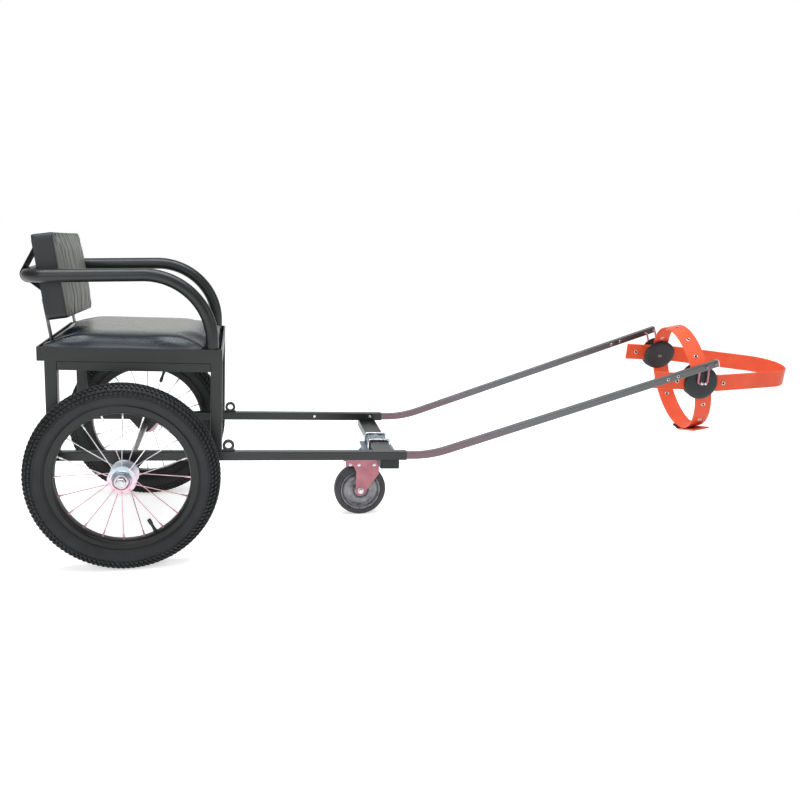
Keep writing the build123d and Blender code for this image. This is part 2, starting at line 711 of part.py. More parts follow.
disc_reach = disc_radius + strap_width / 2 * sin(tilt)
inside_top = girth_inside(disc_reach) - seat_gap
inside_low = girth_inside(-disc_reach) - seat_gap
disc_lean = atan2(inside_low - inside_top, 2 * disc_radius)
for name, side in left_and_right:
    with BuildPart() as disc:
        with Locations((0, side * (disc_inner_y + disc_thickness / 2), 0)):
            Cylinder(disc_radius, disc_thickness, rotation=(90, 0, 0))
        chamfer(disc.faces().sort_by(Axis.Y)[-1 if side > 0 else 0].edges(), disc_bevel)
    keep(disc, f"disc_{name}", harness_place)

    inside_middle = (inside_top + inside_low) / 2
    inside_plane = Plane(origin=(0, side * inside_middle, 0), x_dir=(1, 0, 0),
                         z_dir=(0, side * cos(disc_lean), sin(disc_lean)))
    with BuildPart() as inner_disc:
        with Locations((0, side * (inside_middle + girth_half_width) / 2, 0)):
            Cylinder(rivet_radius, girth_half_width - inside_middle + disc_thickness, rotation=(90, 0, 0))
        with BuildSketch(girth_plane):
            with Locations((0, -girth_drop)):
                Ellipse(2 * girth_half_width, 2 * girth_half_height)
                Ellipse(girth_half_width - strap_thickness - seat_gap,
                        girth_half_height - strap_thickness - seat_gap, mode=Mode.SUBTRACT)
        extrude(amount=strap_width, both=True, mode=Mode.SUBTRACT)
        with BuildSketch(inside_plane):
            Circle(disc_radius)
        extrude(amount=-inner_disc_thickness)
    keep(inner_disc, f"inner_disc_{name}", harness_place)

    foot_y = side * (disc_outer_y + seat_gap + bail_radius)
    rear_foot = (harness_place * Location((-bail_half_width, foot_y, 0))).position
    front_foot = (harness_place * Location((bail_half_width, foot_y, 0))).position
    pin_x = bail_half_width * cos(shaft_rise[name])
    pin_z = bail_half_width * sin(shaft_rise[name])
    pin_end = side * (rail_y + shaft_size / 2 + bail_radius)
    pin_start = side * (rail_y - shaft_size / 2 - bail_shaft_gap)
    with BuildPart() as bail:
        with BuildLine():
            FilletPolyline((bail_x[name] - pin_x, pin_end, bail_z[name] - pin_z),
                           (bail_x[name] - pin_x, pin_start, bail_z[name] - pin_z), rear_foot, front_foot,
                           (bail_x[name] + pin_x, pin_start, bail_z[name] + pin_z),
                           (bail_x[name] + pin_x, pin_end, bail_z[name] + pin_z), radius=bail_bend)
        with BuildSketch(Plane.XZ.offset(-pin_end)):
            with Locations((bail_x[name] - pin_x, bail_z[name] - pin_z)):
                Circle(bail_radius)
        sweep()
    keep(bail, f"hanger_{name}")

# Buckle under the girth strap, with the strap's free end past it
girth_low = -girth_drop - girth_half_height
with BuildPart() as girth_buckle:
    with BuildSketch(girth_plane):
        with Locations((0, girth_low - seat_gap)):
            Rectangle(buckle_width, buckle_thickness, align=(Align.CENTER, Align.MAX))
    extrude(amount=buckle_length / 2, both=True)
keep(girth_buckle, "girth_buckle", harness_place)

tongue_top = girth_low - 2 * seat_gap - buckle_thickness
with BuildPart() as girth_tongue:
    with BuildSketch(girth_plane):
        with BuildLine():
            near_end = buckle_width / 2
            tip = -near_end - tongue_length
            drop = tongue_top - strap_thickness
            Polyline((near_end, tongue_top), (near_end, drop), (-near_end, drop),
                     (tip, drop + tongue_rise), (tip, tongue_top + tongue_rise), (-near_end, tongue_top), close=True)
        make_face()
    extrude(amount=strap_width / 2, both=True)
keep(girth_tongue, "girth_tongue", harness_place)

# Parking: pitch the cart about its axle until the caster stands on the ground, then centre it
caster_arm = hypot(caster_x, caster_z - wheel_radius)
park_pitch = degrees(atan2(caster_z - wheel_radius, caster_x) + asin((wheel_radius - caster_radius) / caster_arm))
axle_place = Location((0, 0, wheel_radius))
park = axle_place * Location((0, 0, 0), (0, park_pitch, 0)) * axle_place.inverse()
parked = [piece.moved(park) for piece in pieces]
boxes = [piece.bounding_box() for piece in parked]
middle_x = (min(box.min.X for box in boxes) + max(box.max.X for box in boxes)) / 2
home = Location((-middle_x, 0, 0))

os.makedirs("parts", exist_ok=True)
for piece, level_piece in zip(parked, pieces):
    placed = piece.moved(home)
    placed.label = level_piece.label
    export_step(placed, f"parts/{placed.label}.step")
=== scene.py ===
"""Dresses a one-seat dog cart: finishes its steel frame, and models its tyres, wire wheels, padded seat and
backrest, caster, telescoping shafts and strap harness in detail, in the place that the frame gives them."""

import json
from math import atan2, cos, pi, radians, sin

import bmesh
import bpy
from mathutils import Matrix, Vector


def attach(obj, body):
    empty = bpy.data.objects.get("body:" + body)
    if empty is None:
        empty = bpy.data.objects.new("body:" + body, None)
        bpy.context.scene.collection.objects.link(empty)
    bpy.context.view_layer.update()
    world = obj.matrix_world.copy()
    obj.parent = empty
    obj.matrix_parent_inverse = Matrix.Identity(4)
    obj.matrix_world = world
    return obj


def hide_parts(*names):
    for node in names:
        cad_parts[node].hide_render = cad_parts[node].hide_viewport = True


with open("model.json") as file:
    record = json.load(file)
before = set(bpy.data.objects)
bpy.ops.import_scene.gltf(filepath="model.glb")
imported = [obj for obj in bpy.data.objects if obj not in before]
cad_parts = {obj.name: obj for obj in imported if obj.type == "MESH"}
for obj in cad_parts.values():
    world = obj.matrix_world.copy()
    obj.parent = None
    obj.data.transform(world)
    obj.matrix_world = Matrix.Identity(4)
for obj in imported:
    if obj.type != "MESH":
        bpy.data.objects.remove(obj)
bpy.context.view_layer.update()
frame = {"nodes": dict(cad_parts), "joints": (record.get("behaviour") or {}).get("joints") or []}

# The parked cart. It stands nose down on its caster, turned about the axle bar by as much as the caster's
# king pin leans. Most pieces are modelled level, in metres from the middle of the axle, and then parked.
sides = (("left", 1), ("right", -1))
joint_at = {joint["name"]: joint for joint in frame["joints"]}
king_pin = Vector(joint_at["caster_swivel"]["axis"])
wheel_at = {side: Vector(joint_at[f"wheel_{side}_spin"]["pos_m"]) for side, _ in sides}
axle_middle = (wheel_at["left"] + wheel_at["right"]) / 2
park = Matrix.Translation(axle_middle) @ Matrix.Rotation(atan2(king_pin.x, king_pin.z), 4, "Y")

# Black powder coat on the welded steel frame: rails, legs, bars, tray, armrest tube, brackets and cross tube.
# The coat is baked on, satin, with a fine orange-peel skin and a little dust that dulls it in patches.
coat_colour = (0.0068, 0.0076, 0.0078)
coat_dusty = (0.0125, 0.0133, 0.0133)
coat_peel_scale = 900.0


def new_finish(name, colour, roughness, metallic=0.0, shine=0.5):
    """A material with its colour, roughness, metal and shine set on the shader's own sockets."""
    finish = bpy.data.materials.new(name)
    finish.use_nodes = True
    shader = finish.node_tree.nodes["Principled BSDF"]
    shader.inputs["Base Color"].default_value = (*colour, 1)
    shader.inputs["Roughness"].default_value = roughness
    shader.inputs["Metallic"].default_value = metallic
    shader.inputs["Specular IOR Level"].default_value = shine
    return finish


def add_pattern(finish, scale, detail=2.0, stretch=(1, 1, 1), kind="ShaderNodeTexNoise"):
    """A noise or cell texture on the piece's own coordinates, in metres."""
    nodes, links = finish.node_tree.nodes, finish.node_tree.links
    place = nodes.new("ShaderNodeTexCoord")
    mapping = nodes.new("ShaderNodeMapping")
    mapping.inputs["Scale"].default_value = stretch
    pattern = nodes.new(kind)
    pattern.inputs["Scale"].default_value = scale
    if "Detail" in pattern.inputs:
        pattern.inputs["Detail"].default_value = detail
    links.new(place.outputs["Object"], mapping.inputs["Vector"])
    links.new(mapping.outputs["Vector"], pattern.inputs["Vector"])
    return pattern


def vary_roughness(finish, pattern, low, high):
    """Spreads roughness between two values by a pattern."""
    nodes, links = finish.node_tree.nodes, finish.node_tree.links
    spread = nodes.new("ShaderNodeMapRange")
    spread.inputs["To Min"].default_value = low
    spread.inputs["To Max"].default_value = high
    links.new(pattern.outputs[0], spread.inputs["Value"])
    links.new(spread.outputs["Result"], nodes["Principled BSDF"].inputs["Roughness"])


def mottle(finish, scale, detail, dark, light, smooth, rough, stretch=(1, 1, 1)):
    """Varies a finish's colour and its roughness together, by one noise."""
    nodes, links = finish.node_tree.nodes, finish.node_tree.links
    pattern = add_pattern(finish, scale, detail, stretch)
    vary_roughness(finish, pattern, smooth, rough)
    ramp = nodes.new("ShaderNodeValToRGB")
    for stop, position, colour in zip(ramp.color_ramp.elements, (0.35, 0.65), (dark, light)):
        stop.position = position
        stop.color = (*colour, 1)
    links.new(pattern.outputs[0], ramp.inputs["Fac"])
    links.new(ramp.outputs["Color"], nodes["Principled BSDF"].inputs["Base Color"])


def add_bump(finish, pattern, depth, strength):
    """Raises the surface by a pattern; several bumps are chained one after another."""
    nodes, links = finish.node_tree.nodes, finish.node_tree.links
    bump = nodes.new("ShaderNodeBump")
    bump.inputs["Distance"].default_value = depth
    bump.inputs["Strength"].default_value = strength
    normal = nodes["Principled BSDF"].inputs["Normal"]
    if normal.is_linked:
        links.new(normal.links[0].from_socket, bump.inputs["Normal"])
    links.new(pattern.outputs[0], bump.inputs["Height"])
    links.new(bump.outputs["Normal"], normal)


powder_coat = new_finish("black_powder_coat", coat_colour, 0.42)
mottle(powder_coat, 14.0, 4.0, coat_colour, coat_dusty, 0.26, 0.42)
add_bump(powder_coat, add_pattern(powder_coat, coat_peel_scale), 0.0002, 0.35)


def paint(finish, *starts):
    """Puts a finish on every piece of the frame whose name starts with one of the words given."""
    for name, node in frame["nodes"].items():
        if name.startswith(starts):
            node.data.materials.clear()
            node.data.materials.append(finish)


paint(powder_coat, "rail_", "rear_leg", "front_post", "side_bar", "cross_bar", "seat_tray", "armrest_tube",
      "back_bracket", "cross_tube", "axle_bracket", "tow_eye")

# Balloon tyres: moulded black rubber casings with a raised line on each sidewall, and small skewed tread
# blocks in nine rows that run down over the shoulders. Each is mounted on its rim and turns with its wheel.
# A row of blocks is its place and width across the tyre, its outer radius and its stagger round it.
block_count = 120
block_length = 0.0072
block_height = 0.0045
block_taper = 0.8
block_skew = 0.0026
shoulder_tip = 1.25
block_rows = ((0.0, 0.0062, 0.2030, 0.0), (0.0074, 0.0058, 0.2030, 0.5), (0.0146, 0.0056, 0.2012, 0.0),
              (0.0207, 0.0052, 0.1962, 0.5), (0.0244, 0.0050, 0.1896, 0.0))
casing_half = ((0.0, 0.1996), (0.0070, 0.1993), (0.0130, 0.1980), (0.0180, 0.1950), (0.0215, 0.1910),
               (0.0242, 0.1858), (0.0256, 0.1810), (0.0257, 0.1787), (0.0264, 0.1782), (0.0264, 0.1774),
               (0.0257, 0.1769), (0.0249, 0.1722), (0.0232, 0.1680), (0.0210, 0.1648), (0.0208, 0.1632),
               (0.0196, 0.1626), (0.0180, 0.1606), (0.0166, 0.1586), (0.0146, 0.1572), (0.0142, 0.1514))


def turn_profile(shape, half, steps):
    """Spins an outline a full circle about the y axis, given (across, radius) points of one half of it."""
    points = [(-across, radius) for across, radius in reversed(half) if across > 0] + list(half)
    ring = [shape.verts.new((0.0, across, radius)) for across, radius in points]
    edges = [shape.edges.new(pair) for pair in zip(ring, ring[1:] + ring[:1])]
    bmesh.ops.spin(shape, geom=ring + edges, cent=(0, 0, 0), axis=(0, 1, 0), angle=2 * pi, steps=steps,
                   use_merge=True)


def make_piece(shape, name, finish, body, slot, place, *stands_for, crease=35):
    """Turns a bmesh into a piece with smooth faces and crisp creases, which rides on a body of the cart."""
    bmesh.ops.transform(shape, matrix=place, verts=shape.verts)
    bmesh.ops.remove_doubles(shape, verts=shape.verts, dist=0.000002)
    bmesh.ops.recalc_face_normals(shape, faces=shape.faces)
    mesh = bpy.data.meshes.new(name)
    shape.to_mesh(mesh)
    shape.free()
    mesh.shade_smooth()
    mesh.set_sharp_from_angle(angle=radians(crease))
    mesh.materials.append(finish)
    piece = bpy.data.objects.new(name, mesh)
    bpy.context.scene.collection.objects.link(piece)
    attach(piece, body)
    if stands_for:
        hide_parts(*stands_for)
    return piece


def add_block(shape, matrix, size, taper, skew=0.0):
    """A block that narrows towards its top, open below, with its far end pushed sideways by the skew."""
    low = [(-0.5, -0.5), (0.5, -0.5), (0.5, 0.5), (-0.5, 0.5)]
    base = [shape.verts.new(matrix @ Vector((a * size[0], b * size[1] + a * skew, 0))) for a, b in low]
    top = [shape.verts.new(matrix @ Vector((a * size[0] * taper, b * size[1] * taper + a * skew, size[2])))
           for a, b in low]
    shape.faces.new(top)
    for here in range(4):
        after = (here + 1) % 4
        shape.faces.new((base[here], base[after], top[after], top[here]))


rubber = new_finish("tyre_rubber", (0.010, 0.0105, 0.011), 0.6, 0.0, 0.4)
mottle(rubber, 22.0, 5.0, (0.0085, 0.009, 0.0095), (0.017, 0.018, 0.0185), 0.5, 0.72)
add_bump(rubber, add_pattern(rubber, 1400.0), 0.0002, 0.3)

wheel_place = {side: Matrix.Translation(wheel_at[side]) for side, _ in sides}
for side, _ in sides:
    shape = bmesh.new()
    turn_profile(shape, casing_half, 160)
    for across, width, top_radius, stagger in block_rows:
        for hand in ((1,) if across == 0.0 else (1, -1)):
            for number in range(block_count):
                turn = 2 * pi * (number + stagger) / block_count
                tip = shoulder_tip * (across / block_rows[-1][0]) ** 1.5
                foot = Matrix.Translation((0, hand * across, top_radius - block_height))
                out = Matrix.Rotation(turn, 4, "Y") @ foot @ Matrix.Rotation(-hand * tip, 4, "X")
                add_block(shape, out, (block_length, width, block_height), block_taper, hand * block_skew)
    make_piece(shape, f"rubber_tyre_{side}", rubber, f"wheel_{side}", "tyre", wheel_place[side],
               f"tyre_{side}", crease=30)

# Rims: rolled steel box rims with round lips that hold the tyre, stove-enamelled black. Each carries a rubber
# valve with a screw cap, which stands through the well towards the hub.
rim_outline = ((0.0, 0.1397), (0.0085, 0.1399), (0.0112, 0.1404), (0.0140, 0.1424), (0.0163, 0.1452),
               (0.0171, 0.1475), (0.0171, 0.1556), (0.0176, 0.1570), (0.0171, 0.1581), (0.0160, 0.1581),
               (0.0150, 0.1569), (0.0148, 0.1512), (0.0100, 0.1508), (0.0, 0.1508))
valve_outline = ((0.0048, 0.0), (0.0042, 0.006), (0.0034, 0.014), (0.0034, 0.022), (0.0044, 0.0222),
                 (0.0044, 0.0330), (0.0034, 0.0342), (0.0, 0.0344))
valve_seat = 0.1425
valve_turn = {"left": radians(21.0), "right": radians(154.5)}

enamel = new_finish("rim_enamel", (0.007, 0.007, 0.0072), 0.28, 0.0, 0.35)
mottle(enamel, 18.0, 4.0, (0.006, 0.006, 0.0062), (0.011, 0.0108, 0.011), 0.2, 0.42)
cap_plastic = new_finish("valve_plastic", (0.012, 0.012, 0.012), 0.5)
vary_roughness(cap_plastic, add_pattern(cap_plastic, 260.0), 0.4, 0.6)


def turn_upright(shape, points, steps, matrix):
    """Spins an outline of (radius, height) points about the matrix's own upright axis."""
    ring = [shape.verts.new(matrix @ Vector((radius, 0.0, height))) for radius, height in points]
    edges = [shape.edges.new(pair) for pair in zip(ring, ring[1:])]
    upright = matrix.to_3x3() @ Vector((0, 0, 1))
    bmesh.ops.spin(shape, geom=ring + edges, cent=matrix.translation, axis=upright, angle=2 * pi, steps=steps,
                   use_merge=True)


for side, _ in sides:
    shape = bmesh.new()
    turn_profile(shape, rim_outline, 128)
    make_piece(shape, f"steel_rim_{side}", enamel, f"wheel_{side}", "rim_black", wheel_place[side],
               f"rim_{side}")
    shape = bmesh.new()
    inward = Matrix.Translation((0, 0, valve_seat)) @ Matrix.Rotation(pi, 4, "X")
    turn_upright(shape, valve_outline, 16, Matrix.Rotation(valve_turn[side], 4, "Y") @ inward)
    make_piece(shape, f"valve_{side}", cap_plastic, f"wheel_{side}", "tyre", wheel_place[side])

# Hubs: pressed steel hubs with a spoke flange at each end, a rolled bearing cup and a dust ring, bright zinc
# plated. The zinc is painted a faint blue above and a rosy cast lower down, as painted reflection.
hub_half = ((0.0, 0.0130), (0.0180, 0.0132), (0.0212, 0.0150), (0.0223, 0.0190), (0.0227, 0.0290),
            (0.0233, 0.0302), (0.0246, 0.0305), (0.0254, 0.0300), (0.0256, 0.0285), (0.0260, 0.0216),
            (0.0275, 0.0203), (0.0345, 0.0200), (0.0357, 0.0194), (0.0360, 0.0184), (0.0352, 0.0176),
            (0.0338, 0.0170), (0.0334, 0.0160), (0.0342, 0.0152), (0.0352, 0.0140), (0.0356, 0.0120),
            (0.0358, 0.0078), (0.0300, 0.0074))
axle_height = axle_middle.z


def tint_by_height(finish, low, high, low_colour, high_colour):
    """Blends a colour up the piece between two heights above the floor, in metres."""
    nodes, links = finish.node_tree.nodes, finish.node_tree.links
    place = nodes.new("ShaderNodeTexCoord")
    split = nodes.new("ShaderNodeSeparateXYZ")
    spread = nodes.new("ShaderNodeMapRange")
    spread.inputs["From Min"].default_value = low
    spread.inputs["From Max"].default_value = high
    ramp = nodes.new("ShaderNodeValToRGB")
    ramp.color_ramp.elements[0].color = (*low_colour, 1)
    ramp.color_ramp.elements[1].color = (*high_colour, 1)
    links.new(place.outputs["Object"], split.inputs["Vector"])
    links.new(split.outputs["Z"], spread.inputs["Value"])
    links.new(spread.outputs["Result"], ramp.inputs["Fac"])
    links.new(ramp.outputs["Color"], nodes["Principled BSDF"].inputs["Base Color"])


hub_zinc = new_finish("hub_zinc", (0.6, 0.58, 0.6), 0.3, 1.0)
# Painted reflection: the zinc's colour goes rosy below the axle and bluish above it.
tint_by_height(hub_zinc, axle_height - 0.025, axle_height + 0.02, (0.66, 0.40, 0.46), (0.52, 0.60, 0.66))
hub_stain = add_pattern(hub_zinc, 60.0, 5.0)
vary_roughness(hub_zinc, hub_stain, 0.22, 0.45)
add_bump(hub_zinc, hub_stain, 0.0006, 0.12)
for side, _ in sides:
    shape = bmesh.new()
    turn_profile(shape, hub_half, 64)
    make_piece(shape, f"pressed_hub_{side}", hub_zinc, f"wheel_{side}", "zinc", wheel_place[side],
               f"hub_{side}")

# Spokes: twenty plain drawn steel wires a wheel, laid straight out from the two flanges in turn. Each has a
# bent head in its flange and a plated brass nipple that tightens it at the rim. Low down they are painted
# rosy as painted reflection, strongly on the right wheel and faintly on the left.
spoke_count = 20
spoke_radius = 0.0011
spoke_foot = 0.0272
spoke_head = 0.1405
flange_face = 0.0256
nipple_length = 0.0140
spoke_turn = radians(3.0)
nipple_outline = ((0.0014, 0.0), (0.0019, 0.0010), (0.0020, 0.0115), (0.0029, 0.0125),
                  (0.0029, nipple_length))
rosette_outline = ((0.0024, -0.0004), (0.0023, 0.0010), (0.0015, 0.0018), (0.0, 0.0020))
spoke_low_painted_reflection = {"left": (0.74, 0.70, 0.71), "right": (0.66, 0.35, 0.40)}


def facing_side(spot, hand):
    """A place at a spot, with its upright axis turned out to the left or the right."""
    return Matrix.Translation(spot) @ Matrix.Rotation(-hand * pi / 2, 4, "X")


def standing(spot, way):
    """A place at a spot, with its upright axis turned along a way."""
    return Matrix.Translation(spot) @ way.to_track_quat("Z", "Y").to_matrix().to_4x4()


for side, _ in sides:
    spoke_steel = new_finish(f"spoke_steel_{side}", (0.76, 0.75, 0.76), 0.3, 1.0)
    # Painted reflection: rosy below the axle, fading to plain steel above it.
    tint_by_height(spoke_steel, axle_height - 0.035, axle_height + 0.05, spoke_low_painted_reflection[side],
                   (0.78, 0.78, 0.80))
    vary_roughness(spoke_steel, add_pattern(spoke_steel, 90.0, 3.0), 0.25, 0.42)
    shape = bmesh.new()
    for number in range(spoke_count):
        turn = Matrix.Rotation(spoke_turn + 2 * pi * number / spoke_count, 4, "Y")
        hand = 1 if number % 2 else -1
        foot = turn @ Vector((0, hand * flange_face, spoke_foot))
        head = turn @ Vector((0, 0, spoke_head))
        wire = head - foot
        bmesh.ops.create_cone(shape, cap_ends=True, segments=10, radius1=spoke_radius, radius2=spoke_radius,
                              depth=wire.length, matrix=standing((foot + head) / 2, wire))
        turn_upright(shape, rosette_outline, 10, facing_side(foot, hand))
        turn_upright(shape, nipple_outline, 10, standing(head - wire.normalized() * nipple_length, wire))
    make_piece(shape, f"wire_spokes_{side}", spoke_steel, f"wheel_{side}", "spoke_steel", wheel_place[side],
               f"spokes_{side}")

# Axle: one round steel bar through both hubs, with turned collars, and a zinc plated flange nut and washer at
# each end that hold the wheel on. The bar shows dull grey between the wheels.
axle_steel = new_finish("axle_steel", (0.58, 0.58, 0.58), 0.4, 1.0)
mottle(axle_steel, 45.0, 5.0, (0.48, 0.48, 0.48), (0.68, 0.68, 0.68), 0.35, 0.6, (1, 0.2, 1))
paint(axle_steel, "axle")
paint(powder_coat, "axle_bracket")

nut_zinc = new_finish("nut_zinc", (0.58, 0.55, 0.56), 0.3, 1.0)
mottle(nut_zinc, 120.0, 4.0, (0.48, 0.44, 0.46), (0.66, 0.63, 0.64), 0.22, 0.4)
axle_nut_outline = ((0.0077, 0.0), (0.0145, 0.0), (0.0148, 0.0008), (0.0142, 0.0020), (0.0112, 0.0024))
nut_seat = 0.0363
nut_flats = 0.019
nut_height = 0.0095
nut_lift = 0.0018


def add_hexagon(shape, across_flats, height, matrix, dome):
    """A hexagon nut or bolt head with a chamfered top, standing on the matrix's plane."""
    radius = across_flats / 2 / cos(pi / 6)
    ring = [(radius, 0.0), (radius, height - dome), (radius * 0.87, height)]
    loops = []
    for reach, level in ring:
        corners = [Vector((reach * cos(pi * k / 3), reach * sin(pi * k / 3), level)) for k in range(6)]
        loops.append([shape.verts.new(matrix @ corner) for corner in corners])
    for low, high in zip(loops, loops[1:]):
        for k in range(6):
            shape.faces.new((low[k], low[(k + 1) % 6], high[(k + 1) % 6], high[k]))
    shape.faces.new(loops[-1])
    shape.faces.new(list(reversed(loops[0])))


for side, hand in sides:
    shape = bmesh.new()
    outward = facing_side((0, hand * nut_seat, 0), hand)
    turn_upright(shape, axle_nut_outline, 32, outward)
    add_hexagon(shape, nut_flats, nut_height, outward @ Matrix.Translation((0, 0, nut_lift)), 0.0012)
    make_piece(shape, f"hub_nut_{side}", nut_zinc, "frame", "zinc", wheel_place[side],
               f"axle_nut_{side}", crease=25)

# Seat board: a sheet of plywood that rests in the tray's angle irons, with its front corners cut away for the
# armrest tube. Its edge is sealed and shows brown between the cushion and the tray.
plywood = new_finish("sealed_plywood", (0.09, 0.055, 0.03), 0.6)
mottle(plywood, 30.0, 6.0, (0.06, 0.035, 0.02), (0.13, 0.08, 0.045), 0.5, 0.75, (1, 8, 20))
paint(plywood, "seat_board")

# Seat cushion: foam under smooth black leatherette, drawn down over the board's edges and stapled below. It
# is crowned, with soft shoulders. Its top is painted a lighter grey as painted sheen, and its shoulders
# below a line are painted a bluer black as painted shade. It runs on behind the two backrest strips and is
# slotted for them.
cushion_rear = -0.174
cushion_slot_x = -0.1505
cushion_slot_near = 0.123
cushion_slot_far = 0.157
cushion_front = 0.200
cushion_half = 0.1945
cushion_notch_x = 0.166
cushion_notch_y = 0.1657
cushion_low = 0.2484
cushion_edge = 0.0225
cushion_rise = 0.0130
cushion_shoulder = 0.085
cushion_voxel = 0.005
cushion_cap = 0.009
cushion_sheen_height = 0.0422
cushion_shade_colour = (0.009, 0.012, 0.018)
cushion_hem = 0.004
cushion_passes = 8

# Painted sheen: the mottle's greys make the top lighter than the black leatherette.
leatherette = new_finish("black_leatherette", (0.010, 0.012, 0.016), 0.34)
mottle(leatherette, 9.0, 4.0, (0.050, 0.050, 0.044), (0.078, 0.077, 0.068), 0.20, 0.33)
add_bump(leatherette, add_pattern(leatherette, 620.0, kind="ShaderNodeTexVoronoi"), 0.0004, 0.30)
add_bump(leatherette, add_pattern(leatherette, 26.0, 3.0), 0.004, 0.16)


def darken_behind(finish, spot, way, colour, blend=0.0008):
    """Turns a finish to another colour behind a plane through a spot, square to a way."""
    nodes, links = finish.node_tree.nodes, finish.node_tree.links
    shader = nodes["Principled BSDF"]
    coords = nodes.new("ShaderNodeTexCoord")
    along = nodes.new("ShaderNodeVectorMath")
    along.operation = "DOT_PRODUCT"
    along.inputs[1].default_value = way
    links.new(coords.outputs["Object"], along.inputs[0])
    edge = nodes.new("ShaderNodeMapRange")
    edge.inputs["From Min"].default_value = spot.dot(way) - blend
    edge.inputs["From Max"].default_value = spot.dot(way) + blend
    links.new(along.outputs["Value"], edge.inputs["Value"])
    mix = nodes.new("ShaderNodeMix")
    mix.data_type = "RGBA"
    mix.inputs["A"].default_value = (*colour, 1)
    links.new(edge.outputs["Result"], mix.inputs["Factor"])
    links.new(shader.inputs["Base Color"].links[0].from_socket, mix.inputs["B"])
    links.new(mix.outputs["Result"], shader.inputs["Base Color"])


def add_slab(shape, outline, low, high):
    """A closed slab on an outline of (x, y) points, between two heights."""
    floor_loop = [shape.verts.new((x, y, low)) for x, y in outline]
    roof_loop = [shape.verts.new((x, y, high)) for x, y in outline]
    shape.faces.new(list(reversed(floor_loop)))
    shape.faces.new(roof_loop)
    for here in range(len(outline)):
        after = (here + 1) % len(outline)
        shape.faces.new((floor_loop[here], floor_loop[after], roof_loop[after], roof_loop[here]))


def fill_with_foam(shape, name, voxel, is_held, cap, reshape):
    """Remeshes a closed form evenly, blows it up as sewn cloth, and gives the blown skin back as a bmesh.

    Held points stay where they are, and no point moves further than the cap.
    """
    bmesh.ops.recalc_face_normals(shape, faces=shape.faces)
    mesh = bpy.data.meshes.new(name)
    shape.to_mesh(mesh)
    shape.free()
    form = bpy.data.objects.new(name, mesh)
    bpy.context.scene.collection.objects.link(form)
    remesh = form.modifiers.new("remesh", "REMESH")
    remesh.mode = "VOXEL"
    remesh.voxel_size = voxel
    skin = bpy.data.meshes.new_from_object(form.evaluated_get(bpy.context.evaluated_depsgraph_get()))
    form.modifiers.clear()
    form.data = skin
    for point in skin.vertices:
        point.co = reshape(point.co)
    start = [point.co.copy() for point in skin.vertices]
    end = start
    group = form.vertex_groups.new(name="held")
    group.add([point.index for point in skin.vertices if is_held(point.co)], 1.0, "REPLACE")
    cloth = form.modifiers.new("cloth", "CLOTH")
    cloth.settings.quality = 5
    cloth.settings.vertex_group_mass = "held"
    cloth.settings.use_pressure = True
    cloth.settings.uniform_pressure_force = 4.0
    cloth.settings.effector_weights.gravity = 0.0
    for step in range(1, 21):
        bpy.context.scene.frame_set(step)
    blown = form.evaluated_get(bpy.context.evaluated_depsgraph_get()).to_mesh()
    end = [point.co.copy() for point in blown.vertices]
    bpy.context.scene.frame_set(1)
    for point, before, after in zip(skin.vertices, start, end):
        move = after - before
        if move.length > cap:
            move = move * (cap / move.length)
        point.co = before + move
    result = bmesh.new()
    form.modifiers.clear()
    result.from_mesh(skin)
    bpy.data.objects.remove(form)
    return result


def crown_seat(point):
    """Raises the seat's top towards its middle, steepest at the edges."""
    lift = (point.z - cushion_low) / cushion_edge
    inward = min(point.x - cushion_rear, cushion_front - point.x, cushion_half - abs(point.y))
    share = min(max(inward / cushion_shoulder, 0.0), 1.0)
    return Vector((point.x, point.y, point.z + lift * cushion_rise * share * (2 - share)))


up = Vector((0, 0, 1))
# Painted shade: below this line the shoulders turn a bluer black; above it the top keeps its painted sheen.
sheen_line = park @ (up * (cushion_low + cushion_sheen_height))
darken_behind(leatherette, sheen_line, park.to_3x3() @ up, cushion_shade_colour, 0.0022)
shape = bmesh.new()
half_plan = [(cushion_rear, -cushion_half), (cushion_notch_x, -cushion_half),
             (cushion_notch_x, -cushion_notch_y), (cushion_front, -cushion_notch_y)]
half_slot = [(cushion_rear, cushion_slot_near), (cushion_slot_x, cushion_slot_near),
             (cushion_slot_x, cushion_slot_far), (cushion_rear, cushion_slot_far)]
seat_plan = half_plan + [(x, -y) for x, y in reversed(half_plan)]
seat_plan += list(reversed(half_slot)) + [(x, -y) for x, y in half_slot]
add_slab(shape, seat_plan, cushion_low, cushion_low + cushion_edge)
shape = fill_with_foam(shape, "seat_form", cushion_voxel, lambda co: co.z < cushion_low + cushion_hem,
                       cushion_cap, crown_seat)
for _ in range(cushion_passes):
    bmesh.ops.smooth_vert(shape, verts=[v for v in shape.verts if v.co.z > cushion_low + 0.006], factor=0.5,
                          use_axis_x=True, use_axis_y=True, use_axis_z=True)
seat_cushion = make_piece(shape, "seat_cushion_cover", leatherette, "frame", "leatherette", park,
                          "seat_cushion", crease=80)
finer = seat_cushion.modifiers.new("finer", "SUBSURF")
finer.levels = 1
finer.render_levels = 1
